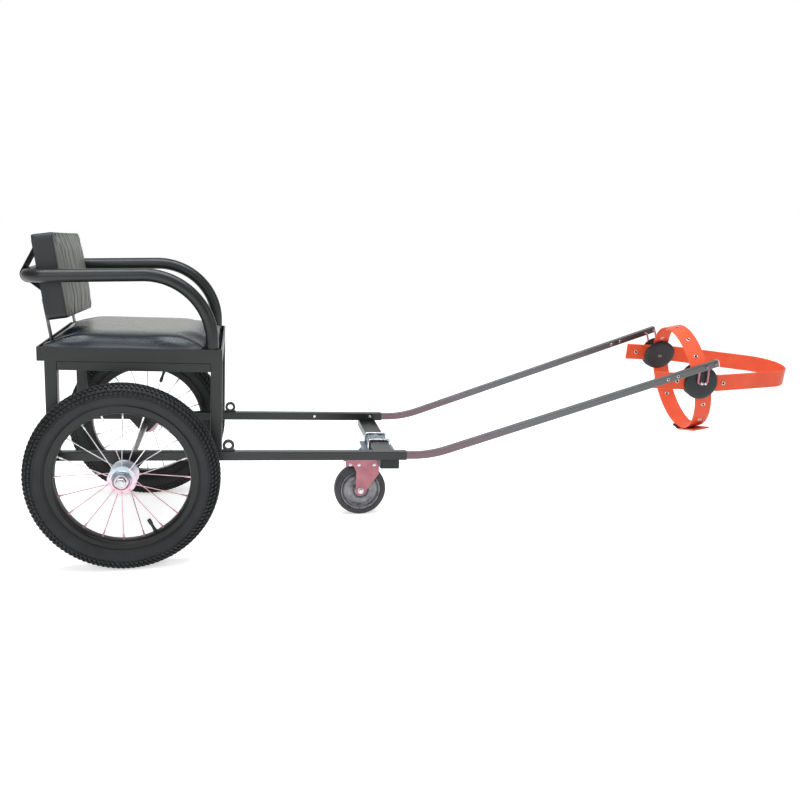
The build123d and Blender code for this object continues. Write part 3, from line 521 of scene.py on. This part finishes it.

# Backrest: a foam block on a board, covered as one in smooth black leatherette, its front panel gathered into
# upright folds. The front panel is painted a lighter grey as painted sheen, while the sides and back keep the
# black. It leans back on its strips and brackets, a little askew. A gather is its place and slant, its depth
# in millimetres, and whether it starts above.
back_lean = radians(9)
back_foot = Vector((-0.152, 0.0, 0.239))
pad_half = 0.1560
pad_low = 0.0705
pad_high = 0.2535
pad_front = 0.0455
pad_corner = 0.011
pad_side_dip = 0.0018
pad_voxel = 0.004
pad_cap = 0.0055
panel_edge = 0.0435
panel_behind = (0.012, 0.0135, 0.016)
back_roll = radians(2.5)
gathers = ((-0.146, 0.020, 3.2, 1), (-0.131, 0.034, 2.4, 1), (-0.119, 0.014, 4.2, 1),
           (-0.098, 0.030, 3.0, 1), (-0.086, 0.010, 4.4, 1), (-0.060, 0.034, 3.2, 1),
           (-0.043, -0.012, 4.0, 1), (-0.020, 0.026, 2.8, 1), (0.004, 0.012, 3.8, 1),
           (0.030, -0.018, 2.4, 1), (0.052, 0.010, 3.2, 1), (0.083, -0.016, 2.2, 1),
           (0.108, 0.006, 2.6, 1), (0.131, -0.008, 1.8, 1), (-0.140, -0.016, 2.4, 0),
           (-0.104, -0.030, 3.4, 0), (-0.078, 0.012, 2.6, 0), (-0.066, -0.034, 3.6, 0),
           (-0.034, -0.022, 3.0, 0), (-0.011, 0.018, 3.4, 0), (0.018, -0.026, 2.6, 0),
           (0.045, 0.016, 2.8, 0), (0.072, -0.012, 2.2, 0), (0.099, 0.020, 2.4, 0),
           (0.126, -0.010, 1.8, 0))

back_up = Vector((-sin(back_lean), 0, cos(back_lean)))
back_out = Vector((cos(back_lean), 0, sin(back_lean)))
lean = Matrix((Vector((0, 1, 0)), back_up, back_out)).transposed().to_4x4()
back = park @ Matrix.Translation(back_foot) @ lean
pad_middle = Matrix.Translation((0, 0.165, 0))
back_askew = back @ pad_middle @ Matrix.Rotation(-back_roll, 4, "Z") @ pad_middle.inverted()

# Painted sheen: the front panel's greys are lighter than the black leatherette of the sides and back.
gathered = new_finish("gathered_leatherette", (0.05, 0.052, 0.048), 0.42)
mottle(gathered, 12.0, 4.0, (0.096, 0.099, 0.089), (0.140, 0.143, 0.130), 0.36, 0.52)
add_bump(gathered, add_pattern(gathered, 620.0, kind="ShaderNodeTexVoronoi"), 0.0004, 0.30)


def ease(value):
    """A smooth step from nought to one."""
    value = min(max(value, 0.0), 1.0)
    return value * value * (3 - 2 * value)


def pull_in(point):
    """Lets the block's sides draw in a little between their corners."""
    across = point.x / pad_half
    along = (2 * point.y - pad_low - pad_high) / (pad_high - pad_low)
    side_share = ease((abs(across) - 0.9) / 0.1) * (1 - along * along)
    end_share = ease((abs(along) - 0.85) / 0.15) * (1 - across * across)
    depth = sin(pi * min(max(point.z / pad_front, 0.0), 1.0)) * pad_side_dip
    return Vector((point.x - depth * side_share * (1 if across > 0 else -1),
                   point.y - depth * end_share * (1 if along > 0 else -1), point.z))


def gather(point):
    """How deep the gathers press into the front panel at a point, in metres.

    Each one is sharp at the seam it starts from, above or below, and fades and widens as it slants away.
    """
    height = min(max((point.y - pad_low) / (pad_high - pad_low), 0.0), 1.0)
    total = 0.0
    for number, (spot, slant, depth, above) in enumerate(gathers):
        away = 1.0 - height if above else height
        line = spot + slant * away + 0.0016 * sin(7.0 * away + 2.1 * number)
        width = 0.0032 + 0.0060 * away
        aside = (point.x - line) / width
        if abs(aside) < 3.0:
            total += 0.001 * depth * (1.0 - away) ** 0.8 * 2.718 ** (-aside * aside)
    return total


shape = bmesh.new()
pad_plan = []
for end_x, end_y, first in ((1, -1, -90), (1, 1, 0), (-1, 1, 90), (-1, -1, 180)):
    middle_y = pad_low + pad_corner if end_y < 0 else pad_high - pad_corner
    for k in range(7):
        turn = radians(first + 15 * k)
        pad_plan.append((end_x * (pad_half - pad_corner) + pad_corner * cos(turn),
                         middle_y + pad_corner * sin(turn)))
add_slab(shape, pad_plan, 0.0, pad_front)
shape = fill_with_foam(shape, "back_form", pad_voxel, lambda co: co.z < pad_front - 0.003, pad_cap,
                       pull_in)
for _ in range(2):
    bmesh.ops.smooth_vert(shape, verts=[v for v in shape.verts if v.co.z > pad_front - 0.004], factor=0.5,
                          use_axis_x=True, use_axis_y=True, use_axis_z=True)
bmesh.ops.subdivide_edges(shape, edges=shape.edges, cuts=1, use_grid_fill=True)
for point in shape.verts:
    facing = ease((point.co.z - pad_front + 0.004) / 0.004)
    point.co.z -= facing * gather(point.co)
darken_behind(gathered, back @ Vector((0, 0, panel_edge)), park.to_3x3() @ back_out, panel_behind)
back_cover = make_piece(shape, "back_pad_cover", gathered, "frame", "leatherette_grey", back_askew,
                        "back_pad", "back_board", crease=80)

# Backrest strips: two flat steel bars that carry the backrest, in a dark grey that is partly painted shade.
# Each is screwed to the tray at its foot and to the back of the board.
strip_steel = new_finish("strip_steel", (0.14, 0.14, 0.15), 0.36, 0.9)
mottle(strip_steel, 60.0, 4.0, (0.09, 0.095, 0.105), (0.19, 0.19, 0.21), 0.28, 0.46)
paint(strip_steel, "back_strip")

# Back saddles: two flat bars bent round behind the armrest's rear run, with their feet screwed to the back of
# the board above and below it. They are powder coated like the frame.
arm_run = Vector((0, 0.1778, -0.0230))
saddle_bend = 0.0159
saddle_from = radians(35.3)
saddle_to = radians(-90)
saddle_reach = 0.1085
saddle_width = 0.057
saddle_bar = 0.003
saddle_sunk = -0.0019
saddle_feet = ((0.2450, 0.2320), (0.1400, 0.1270))


def add_band(shape, path, across, width, thickness, closed):
    """A flat strap with eased edges, swept along (point, outward) pairs."""
    half, flat, eased = width / 2, thickness / 2, thickness * 0.28
    section = ((-flat, eased - half), (-flat, half - eased), (eased - flat, half), (flat - eased, half),
               (flat, half - eased), (flat, eased - half), (flat - eased, -half), (eased - flat, -half))
    rings = [[shape.verts.new(point + outward * a + across * b) for a, b in section]
             for point, outward in path]
    pairs = list(zip(rings, rings[1:]))
    if closed:
        pairs.append((rings[-1], rings[0]))
    else:
        shape.faces.new(rings[0])
        shape.faces.new(list(reversed(rings[-1])))
    for first, second in pairs:
        for k in range(8):
            shape.faces.new((first[k], first[(k + 1) % 8], second[(k + 1) % 8], second[k]))


for side, hand in sides:
    turns = [saddle_from + (saddle_to - saddle_from) * k / 12 for k in range(13)]
    round_back = [Vector((0, sin(turn), -cos(turn))) for turn in turns]
    spots = [arm_run + saddle_bend * way for way in round_back]
    upper = [Vector((0, spot, saddle_sunk)) for spot in saddle_feet[0]]
    lower = [Vector((0, spot, saddle_sunk)) for spot in saddle_feet[1]]
    line = upper + spots + lower
    path = []
    for here, spot in enumerate(line):
        before = spot - line[here - 1] if here > 0 else line[1] - spot
        after = line[here + 1] - spot if here + 1 < len(line) else before
        along = before.normalized() + after.normalized()
        path.append((spot + Vector((hand * saddle_reach, 0, 0)), Vector((0, along.z, -along.y)).normalized()))
    shape = bmesh.new()
    add_band(shape, path, Vector((1, 0, 0)), saddle_width, saddle_bar, False)
    make_piece(shape, f"back_saddle_{side}", powder_coat, "frame", "black_paint", back, crease=25)

# Caster wheel: a grey rubber tread bonded to a dished plastic core, with a paler ring where they meet. It
# turns on a bolt through the fork.
caster_place = Matrix.Translation(Vector(joint_at["caster_spin"]["pos_m"]))
tread_half = ((0.0, 0.0650), (0.0085, 0.0648), (0.0122, 0.0638), (0.0148, 0.0617), (0.0159, 0.0590),
              (0.0160, 0.0530), (0.0156, 0.0512), (0.0140, 0.0502), (0.0, 0.0500))
core_half = ((0.0, 0.0499), (0.0142, 0.0499), (0.0153, 0.0494), (0.0156, 0.0478), (0.0148, 0.0464),
             (0.0128, 0.0452), (0.0092, 0.0425), (0.0072, 0.0380), (0.0064, 0.0320), (0.0068, 0.0280),
             (0.0090, 0.0225), (0.0130, 0.0180), (0.0178, 0.0155), (0.0190, 0.0140), (0.0193, 0.0110),
             (0.0193, 0.0055))

tread_rubber = new_finish("caster_rubber", (0.040, 0.038, 0.042), 0.55, 0.0, 0.35)
mottle(tread_rubber, 40.0, 5.0, (0.034, 0.032, 0.036), (0.056, 0.052, 0.058), 0.45, 0.7)
core_plastic = new_finish("caster_plastic", (0.22, 0.21, 0.22), 0.3, 0.6)
mottle(core_plastic, 55.0, 3.0, (0.15, 0.145, 0.155), (0.25, 0.24, 0.25), 0.22, 0.34)
core_shader = core_plastic.node_tree.nodes["Principled BSDF"]
core_shader.inputs["Anisotropic"].default_value = 0.85
turned = core_plastic.node_tree.nodes.new("ShaderNodeTangent")
turned.direction_type = "RADIAL"
turned.axis = "Y"
core_plastic.node_tree.links.new(turned.outputs["Tangent"], core_shader.inputs["Tangent"])
shape = bmesh.new()
turn_profile(shape, tread_half, 72)
make_piece(shape, "caster_tyre", tread_rubber, "caster_wheel", "caster_rubber", caster_place, "caster_tread")
shape = bmesh.new()
turn_profile(shape, core_half, 72)
make_piece(shape, "caster_disc", core_plastic, "caster_wheel", "caster_plastic", caster_place, "caster_core")

# Caster fork: pressed steel with a passivated zinc, painted rosy as painted reflection, its legs narrowing
# down to the bolt, with bright dome rivets along its crown. It swivels under the plate that the shackle bolts
# clamp to the cross tube.
caster_axle = Vector((0.544, 0.0, -0.114))
fork_face = 0.0230
rivet_places = (-0.029, -0.007, 0.031)
rivet_height = 0.0685
rivet_dome = ((0.0044, 0.0), (0.0042, 0.0010), (0.0031, 0.0019), (0.0016, 0.0023), (0.0, 0.0024))
bolt_washer = ((0.0054, 0.0), (0.0074, 0.0), (0.0074, 0.0012), (0.0054, 0.0014))
bolt_flats = 0.0110
bolt_height = 0.0062
zinc = new_finish("bright_zinc", (0.60, 0.60, 0.63), 0.28, 1.0)
mottle(zinc, 70.0, 4.0, (0.50, 0.51, 0.55), (0.70, 0.70, 0.72), 0.2, 0.4)
# Painted reflection: the rosy tint stands for a reddish floor mirrored in the zinc of the fork and bails.
rosy_reflection_zinc = new_finish("rosy_reflection_zinc", (0.42, 0.16, 0.19), 0.42, 0.35, 0.35)
mottle(rosy_reflection_zinc, 35.0, 4.0, (0.38, 0.135, 0.165), (0.47, 0.19, 0.215), 0.34, 0.52)
paint(rosy_reflection_zinc, "caster_fork")
paint(zinc, "u_bolt", "caster_bolt")
shape = bmesh.new()
for _, hand in sides:
    outward = facing_side(caster_axle + Vector((0, hand * fork_face, 0)), hand)
    turn_upright(shape, bolt_washer, 24, outward)
    add_hexagon(shape, bolt_flats, bolt_height, outward @ Matrix.Translation((0, 0, 0.0010)), 0.0012)
    for place in rivet_places:
        head = caster_axle + Vector((place, hand * fork_face, rivet_height))
        turn_upright(shape, rivet_dome, 18, facing_side(head, hand))
make_piece(shape, "caster_bolt_nuts", zinc, "caster_fork", "zinc", park, crease=25)

# Shackle: the plate, the nuts on the four bolt ends under it, and a ribbed saddle over the tube between the
# bolts, all in bluish zinc.
shackle_x = 0.583
shackle_reach = 0.0253
shackle_y = 0.0323
shackle_flats = 0.010
shackle_nut_height = 0.0052
plate_bottom = -0.0060
saddle_half = 0.0270
saddle_skin = 0.0014
tube_half = 0.0220
tube_top = 0.0180
tube_bottom = -0.0020
blue_zinc = new_finish("bluish_zinc", (0.20, 0.24, 0.28), 0.32, 0.8)
mottle(blue_zinc, 60.0, 4.0, (0.13, 0.165, 0.20), (0.28, 0.33, 0.37), 0.24, 0.44)
paint(blue_zinc, "caster_plate")
shape = bmesh.new()
for _, hand in sides:
    for end in (-1, 1):
        spot = Vector((shackle_x + end * shackle_reach, hand * shackle_y, plate_bottom))
        hanging = Matrix.Translation(spot) @ Matrix.Rotation(pi, 4, "X")
        add_hexagon(shape, shackle_flats, shackle_nut_height, hanging, 0.0006)
make_piece(shape, "shackle_nuts", blue_zinc, "frame", "zinc", park, crease=25)
shape = bmesh.new()
half_line = [(tube_half, tube_bottom + 0.0015, 1, 0), (tube_half, tube_top - 0.003, 1, 0),
             (tube_half - 0.0012, tube_top - 0.0008, 0.7, 0.7), (tube_half - 0.003, tube_top, 0, 1),
             (0.0075, tube_top, 0, 1), (0.0045, tube_top + 0.0012, 0, 1)]
saddle_line = [(-x, z, -a, b) for x, z, a, b in half_line] + half_line[::-1]
saddle_path = [(Vector((shackle_x + x, 0, z)) + Vector((a, 0, b)) * saddle_skin / 2, Vector((a, 0, b)))
               for x, z, a, b in saddle_line]
add_band(shape, saddle_path, Vector((0, 1, 0)), 2 * saddle_half, saddle_skin, False)
make_piece(shape, "shackle_saddle", blue_zinc, "frame", "zinc", park, crease=25)

# End plugs: black plastic caps with a fine grain, pressed into the open ends of the cross tube and the rear
# ends of the rails.
plug_proud = 0.0016
cross_end = 0.2030
cross_height = 0.0080
rail_end = Vector((-0.1650, 0.194, 0.028))
plug_plastic = new_finish("plug_plastic", (0.012, 0.012, 0.0125), 0.5, 0.0, 0.35)
mottle(plug_plastic, 300.0, 3.0, (0.010, 0.010, 0.0105), (0.020, 0.020, 0.021), 0.42, 0.62)
shape = bmesh.new()
for _, hand in sides:
    across = facing_side((shackle_x, hand * cross_end, cross_height), hand)
    add_block(shape, across, (0.0400, 0.0162, plug_proud), 0.97)
    behind = Matrix.Translation(Vector((1, hand, 1)) * rail_end) @ Matrix.Rotation(-pi / 2, 4, "Y")
    add_block(shape, behind, (0.0168, 0.0168, plug_proud), 0.95)
make_piece(shape, "tube_plugs", plug_plastic, "frame", "black_plastic", park, crease=25)

# Shafts: galvanised square steel tubes that telescope out of the rails, bend up and run to the harness. The
# zinc is dull grey, and painted rosy low down as painted reflection. Each has a bright sawn end, washers
# where its bail passes through, and two pin holes.
shaft_tips = {"left": (1.391, 0.2857, radians(19.9)), "right": (1.374, 0.2565, radians(18.2))}
shaft_y = 0.194
shaft_half = 0.008
sawn_outline = ((shaft_half, -0.0012), (shaft_half + 0.0002, 0.0002), (0.0064, 0.0002), (0.0064, -0.004))
sawn_corners = ((-1, -1), (1, -1), (1, 1), (-1, 1))
hole_radius = 0.0025
pin_holes = (-0.107, -0.133)
bail_pins = (-0.008, -0.032)
hole_rim = ((0.0024, 0.0), (0.0025, 0.0005), (0.0032, 0.0004), (0.0036, 0.0))
pin_washer = ((0.0027, 0.0), (0.0050, 0.0), (0.0050, 0.0009), (0.0034, 0.0013), (0.0027, 0.0013))
shaft_zinc = new_finish("galvanised_shaft", (0.14, 0.14, 0.142), 0.38, 0.9)
# Painted reflection: the zinc goes rosy towards the bottom of the shafts.
tint_by_height(shaft_zinc, 0.20, 0.265, (0.165, 0.108, 0.120), (0.138, 0.138, 0.142))
vary_roughness(shaft_zinc, add_pattern(shaft_zinc, 30.0, 5.0), 0.26, 0.44)
add_bump(shaft_zinc, add_pattern(shaft_zinc, 160.0, 3.0), 0.0004, 0.2)
paint(shaft_zinc, "shaft_")

sawn_steel = new_finish("sawn_steel", (0.80, 0.80, 0.80), 0.35, 1.0)
vary_roughness(sawn_steel, add_pattern(sawn_steel, 500.0, 2.0), 0.25, 0.45)
# Painted shadow: dark discs set just inside the pin holes and the eyelets stand for the shade in the holes.
hole_dark = new_finish("hole_shadow", (0.012, 0.008, 0.007), 0.8)
vary_roughness(hole_dark, add_pattern(hole_dark, 200.0), 0.7, 0.9)
ends, bores, washers = bmesh.new(), bmesh.new(), bmesh.new()
for side, hand in sides:
    tip_x, tip_z, rise = shaft_tips[side]
    tip = Matrix.Translation((tip_x, hand * shaft_y, tip_z)) @ Matrix.Rotation(-rise, 4, "Y")
    loops = [[ends.verts.new(tip @ Vector((lift, a * reach, b * reach))) for a, b in sawn_corners]
             for reach, lift in sawn_outline]
    for low, high in zip(loops, loops[1:]):
        for k in range(4):
            ends.faces.new((low[k], low[(k + 1) % 4], high[(k + 1) % 4], high[k]))
    for face in (1, -1):
        for back_from_tip in pin_holes:
            spot = tip @ facing_side((back_from_tip, face * shaft_half, 0), face)
            turn_upright(ends, hole_rim, 16, spot)
            bmesh.ops.create_circle(bores, cap_ends=True, segments=16, radius=hole_radius,
                                    matrix=spot @ Matrix.Translation((0, 0, 0.0002)))
        for back_from_tip in bail_pins:
            spot = tip @ facing_side((back_from_tip, face * shaft_half, 0), face)
            turn_upright(washers, pin_washer, 18, spot)
make_piece(ends, "shaft_sawn_ends", sawn_steel, "shafts", "zinc", park, crease=25)
make_piece(bores, "shaft_pin_bore_shadows", hole_dark, "shafts", "black_plastic", park, crease=25)
make_piece(washers, "bail_washers", shaft_zinc, "shafts", "zinc", park, crease=25)

# Locking screws: zinc plated set screws with low round heads, two through the inner face of each rail, that
# grip the shaft inside it.
screw_head = ((0.0, 0.0022), (0.0026, 0.0022), (0.0034, 0.0016), (0.0036, 0.0))
screw_places = (0.590, 0.440)
screw_height = 0.0290
rail_inside = shaft_y - 0.010
shape = bmesh.new()
for _, hand in sides:
    for along in screw_places:
        turn_upright(shape, screw_head, 16, facing_side((along, hand * rail_inside, screw_height), -hand))
make_piece(shape, "locking_screws", zinc, "frame", "zinc", park, crease=25)

# Harness straps: orange coated webbing, flat and springy, that keeps its loop by itself. One oval strap goes
# round the dog's girth and leans back at the top, and a longer one lies round its breast, outside the first.
harness_middle = Vector((1.3716, 0.0, 0.2126))
harness_roll = radians(5.474)
harness_yaw = radians(-3.289)
strap_width = 0.042
strap_thickness = 0.004
girth_tilt = radians(13)
girth_centre = Vector((0.008, 0.0, 0.0))
girth_drop = 0.027
girth_across = 0.138
girth_high = 0.132
breast_y = 0.1423
breast_bend = 0.047
breast_bend_radius = 0.010
breast_nose = 0.20368
breast_nose_radius = 0.08332
breast_converge = radians(19)
breast_tails = (0.118, 0.086)
breast_dip = radians(1)
girth_up = Vector((-sin(girth_tilt), 0, cos(girth_tilt)))
girth_way = Vector((cos(girth_tilt), 0, sin(girth_tilt)))
harness = (park @ Matrix.Translation(harness_middle) @ Matrix.Rotation(harness_roll, 4, "X")
           @ Matrix.Rotation(harness_yaw, 4, "Z"))

orange = new_finish("orange_strap", (0.76, 0.090, 0.034), 0.42, 0.0, 0.25)
mottle(orange, 11.0, 4.0, (0.70, 0.079, 0.029), (0.82, 0.105, 0.040), 0.34, 0.5)
add_bump(orange, add_pattern(orange, 420.0, 2.0), 0.0003, 0.25)
add_bump(orange, add_pattern(orange, 30.0, 2.0), 0.002, 0.15)


def girth_spot(turn, outside=0.0):
    """A point on the girth strap's middle line, or outside it, and the way out from there."""
    way_out = (Vector((0, cos(turn) / girth_across, 0)) + girth_up * (sin(turn) / girth_high)).normalized()
    aside = Vector((0, girth_across * cos(turn), 0))
    spot = girth_centre + aside + girth_up * (girth_high * sin(turn) - girth_drop)
    return spot + way_out * outside, way_out


shape = bmesh.new()
girth_path = [girth_spot(2 * pi * k / 96) for k in range(96)]
add_band(shape, girth_path, girth_way, strap_width, strap_thickness, True)
make_piece(shape, "girth_band", orange, "shafts", "strap", harness, "girth_strap")

shape = bmesh.new()
half_run = [(breast_bend + breast_bend_radius * sin(a), breast_y - breast_bend_radius * (1 - cos(a)),
             sin(a), cos(a)) for a in [breast_converge * k / 6 for k in range(7)]]
half_run += [(breast_nose + breast_nose_radius * sin(a), breast_nose_radius * cos(a), sin(a), cos(a))
             for a in [breast_converge + (pi / 2 - breast_converge) * k / 24 for k in range(25)]]
run = [(-breast_tails[0], -breast_y, 0, -1)]
run += [(x, -y, a, -b) for x, y, a, b in half_run]
run += half_run[-2::-1]
run += [(-breast_tails[1], breast_y, 0, 1)]
dip = Matrix.Rotation(breast_dip, 4, "Y")
breast_path = [(dip @ Vector((x, y, 0)), dip.to_3x3() @ Vector((a, b, 0))) for x, y, a, b in run]
add_band(shape, breast_path, dip.to_3x3() @ Vector((0, 0, 1)), strap_width, strap_thickness, False)
make_piece(shape, "breast_band", orange, "shafts", "strap", harness, "breast_strap")

# Eyelets: rolled steel eyelets pressed through both straps, with a rim on each face and a dark disc of
# painted shadow in the hole. Those of the girth strap are given in degrees round it, and those of the breast
# strap by place and side.
eyelet_ring = ((0.0029, 0.0002), (0.0030, 0.0009), (0.0038, 0.0014), (0.0048, 0.0010), (0.0053, 0.0001))
girth_eyelets = (36.7, 62.0, 90.0, 118.0, 140.6, 194.7, 219.0, 321.0, 346.6)
eyelet_hole = 0.0030
breast_eyelets = ((-0.060, -1), (0.060, -1), (-0.060, 1), (0.060, 1))
eyelet_steel = new_finish("eyelet_steel", (0.60, 0.56, 0.53), 0.25, 1.0)
vary_roughness(eyelet_steel, add_pattern(eyelet_steel, 200.0), 0.18, 0.36)
rings, holes = bmesh.new(), bmesh.new()
spots = []
for turn in girth_eyelets:
    for face in (1, -1):
        spot, way_out = girth_spot(radians(turn), face * strap_thickness / 2)
        spots.append((spot, way_out * face))
for ahead, hand in breast_eyelets:
    for face in (1, -1):
        spots.append((dip @ Vector((ahead, hand * (breast_y + face * strap_thickness / 2), 0)),
                      Vector((0, hand * face, 0))))
for spot, way_out in spots:
    seat = standing(spot, way_out)
    turn_upright(rings, eyelet_ring, 18, seat)
    bmesh.ops.create_circle(holes, cap_ends=True, segments=16, radius=eyelet_hole,
                            matrix=seat @ Matrix.Translation((0, 0, 0.0003)))
make_piece(rings, "strap_eyelets", eyelet_steel, "shafts", "zinc", harness)
make_piece(holes, "strap_eyelet_hole_shadows", hole_dark, "shafts", "black_plastic", harness)

# Discs: moulded black plastic pads, slightly domed, riveted through the straps, one outside and one inside on
# each side of the dog. The inside one leans with the girth strap and stands off it on the rivet's shank.
disc_outline = ((0.0, 0.0100), (0.0180, 0.0099), (0.0310, 0.0093), (0.0378, 0.0082), (0.0408, 0.0062),
                (0.0420, 0.0036), (0.0418, 0.0004), (0.0410, 0.0), (0.0, 0.0))
inner_outline = ((0.0, 0.0060), (0.0220, 0.0059), (0.0340, 0.0054), (0.0395, 0.0043), (0.0418, 0.0022),
                 (0.0418, 0.0), (0.0072, 0.0), (0.0070, -0.0075), (0.0, -0.0075))
rivet_outline = ((0.0055, 0.0), (0.0052, 0.0012), (0.0034, 0.0021), (0.0, 0.0024))
disc_face = 0.1446
inner_face = 0.1224
inner_lean = 0.2684
disc_plastic = new_finish("black_plastic", (0.010, 0.0105, 0.011), 0.4, 0.0, 0.35)
mottle(disc_plastic, 30.0, 5.0, (0.008, 0.0085, 0.009), (0.017, 0.018, 0.019), 0.32, 0.5)
rivets = bmesh.new()
for side, hand in sides:
    outward = facing_side((0, hand * disc_face, 0), hand)
    shape = bmesh.new()
    turn_upright(shape, disc_outline, 72, outward)
    make_piece(shape, f"strap_disc_{side}", disc_plastic, "shafts", "black_plastic", harness, f"disc_{side}")
    way_in = Vector((0, -hand * cos(inner_lean), -sin(inner_lean)))
    inner_seat = Matrix.Translation((0, hand * inner_face, 0))
    inward = inner_seat @ way_in.to_track_quat("Z", "X").to_matrix().to_4x4()
    shape = bmesh.new()
    turn_upright(shape, inner_outline, 72, inward)
    make_piece(shape, f"strap_inner_disc_{side}", disc_plastic, "shafts", "black_plastic", harness,
               f"inner_disc_{side}")
    turn_upright(rivets, rivet_outline, 20, outward @ Matrix.Translation((0, 0, 0.0098)))
    turn_upright(rivets, rivet_outline, 20, inward @ Matrix.Translation((0, 0, 0.0058)))
make_piece(rivets, "disc_rivets", strip_steel, "shafts", "zinc", harness)

# Bails: loops of bent wire, zinc plated and painted rosy as painted reflection, from two cross holes near the
# end of each shaft down to its disc, where two bright crimped beads keep the wire in place.
bead_radius = 0.0036
bead_spots = (-0.0015, 0.0075)
bead_face = disc_face + 0.0128
paint(rosy_reflection_zinc, "hanger_")
beads = bmesh.new()
for _, hand in sides:
    for ahead in bead_spots:
        spot = Matrix.Translation((ahead, hand * bead_face, 0.0))
        bmesh.ops.create_uvsphere(beads, u_segments=16, v_segments=10, radius=bead_radius, matrix=spot)
make_piece(beads, "bail_beads", nut_zinc, "shafts", "zinc", harness, crease=60)

# Slider and free end: a moulded black plastic slider under the girth strap, which holds the strap closed. The
# strap's free end, of the same orange webbing, runs on past it.
paint(orange, "girth_tongue")
paint(disc_plastic, "girth_buckle")

# Studio: a plain pale floor that runs out of sight, a white backdrop, and a room that mirrors dimmer above
# and behind the camera. Soft lamps hang overhead, at the near side and in front. The largest one overhead
# isn't mirrored, and a broad and a thin one beside it give the highlights.
floor_glow = 0.54
floor_size = 60.0
floor_paint = new_finish("floor_paint", (0.86, 0.86, 0.86), 0.9)
shape = bmesh.new()
bmesh.ops.create_grid(shape, x_segments=1, y_segments=1, size=floor_size / 2)
mesh = bpy.data.meshes.new("floor")
shape.to_mesh(mesh)
shape.free()
mesh.materials.append(floor_paint)
floor = bpy.data.objects.new("floor", mesh)
bpy.context.scene.collection.objects.link(floor)


def mix_values(tree, factor, first, second):
    """A node that goes from one value to another by a factor; each is a number or a socket."""
    mix = tree.nodes.new("ShaderNodeMix")
    for name, value in (("Factor", factor), ("A", first), ("B", second)):
        if isinstance(value, float):
            mix.inputs[name].default_value = value
        else:
            tree.links.new(value, mix.inputs[name])
    return mix.outputs["Result"]


floor_tree = floor_paint.node_tree
floor_shader = floor_tree.nodes["Principled BSDF"]
floor_shader.inputs["Emission Color"].default_value = (1, 1, 1, 1)
path = floor_tree.nodes.new("ShaderNodeLightPath")
glow = mix_values(floor_tree, path.outputs["Is Glossy Ray"], 0.0, floor_glow)
glow = mix_values(floor_tree, path.outputs["Is Transmission Ray"], glow, floor_glow)
glow = mix_values(floor_tree, path.outputs["Is Camera Ray"], glow, floor_glow)
floor_tree.links.new(glow, floor_shader.inputs["Emission Strength"])

world = bpy.data.worlds.new("studio_room")
world.use_nodes = True
bpy.context.scene.world = world
room_tree = world.node_tree
room = room_tree.nodes["Background"]
room.inputs["Color"].default_value = (1, 1, 1, 1)
path = room_tree.nodes.new("ShaderNodeLightPath")
way = room_tree.nodes.new("ShaderNodeTexCoord")
backdrop = room_tree.nodes.new("ShaderNodeVectorMath")
backdrop.operation = "DOT_PRODUCT"
backdrop.inputs[1].default_value = (0.0, 1.0, 0.0)
room_tree.links.new(way.outputs["Generated"], backdrop.inputs[0])
mirrored = room_tree.nodes.new("ShaderNodeMapRange")
mirrored.inputs["From Min"].default_value = 0.55
mirrored.inputs["From Max"].default_value = 0.93
mirrored.inputs["To Min"].default_value = 0.25
mirrored.inputs["To Max"].default_value = 1.0
room_tree.links.new(backdrop.outputs["Value"], mirrored.inputs["Value"])
strength = mix_values(room_tree, path.outputs["Is Glossy Ray"], 0.55, mirrored.outputs["Result"])
strength = mix_values(room_tree, path.outputs["Is Transmission Ray"], strength, 1.0)
strength = mix_values(room_tree, path.outputs["Is Camera Ray"], strength, 1.0)
room_tree.links.new(strength, room.inputs["Strength"])


def add_softbox(name, place, aim, width, height, power, colour=(1, 1, 1)):
    """An oblong area lamp at a place, turned to face a point."""
    lamp = bpy.data.lights.new(name, "AREA")
    lamp.shape = "RECTANGLE"
    lamp.size = width
    lamp.size_y = height
    lamp.color = colour
    lamp.energy = power
    holder = bpy.data.objects.new(name, lamp)
    holder.location = place
    holder.rotation_euler = (Vector(aim) - Vector(place)).to_track_quat("-Z", "Y").to_euler()
    bpy.context.scene.collection.objects.link(holder)
    return holder


overhead = add_softbox("overhead_softbox", (0.1, 0.2, 3.0), (0.0, 0.0, 0.3), 2.6, 2.0, 14.0)
overhead.visible_glossy = False
add_softbox("near_softbox", (-1.6, -2.6, 1.7), (-0.2, 0.0, 0.3), 1.8, 1.4, 20.0)
add_softbox("strip_softbox", (-0.5, -0.55, 2.5), (-0.5, -0.5, 0.5), 2.6, 1.60, 48.0, (0.88, 0.95, 1.0))
add_softbox("glint_softbox", (-0.6, -0.12, 2.5), (-0.6, -0.12, 0.5), 2.0, 0.14, 15.0, (0.9, 0.96, 1.0))
add_softbox("front_softbox", (2.6, -1.4, 1.5), (0.3, 0.0, 0.3), 1.4, 1.4, 12.0)

# Camera: standing a little behind the cart's middle at its near side, at seated eye height, with a normal
# lens.
camera_lens = bpy.data.cameras.new("camera")
camera_lens.sensor_width = 36.0
camera_lens.lens = 40.32
camera = bpy.data.objects.new("camera", camera_lens)
camera.location = (-0.46766, -2.15752, 0.77591)
camera.rotation_euler = (radians(77.501), radians(-0.173), radians(-9.857))
bpy.context.scene.collection.objects.link(camera)
bpy.context.scene.camera = camera
bpy.context.scene.view_settings.view_transform = "Standard"
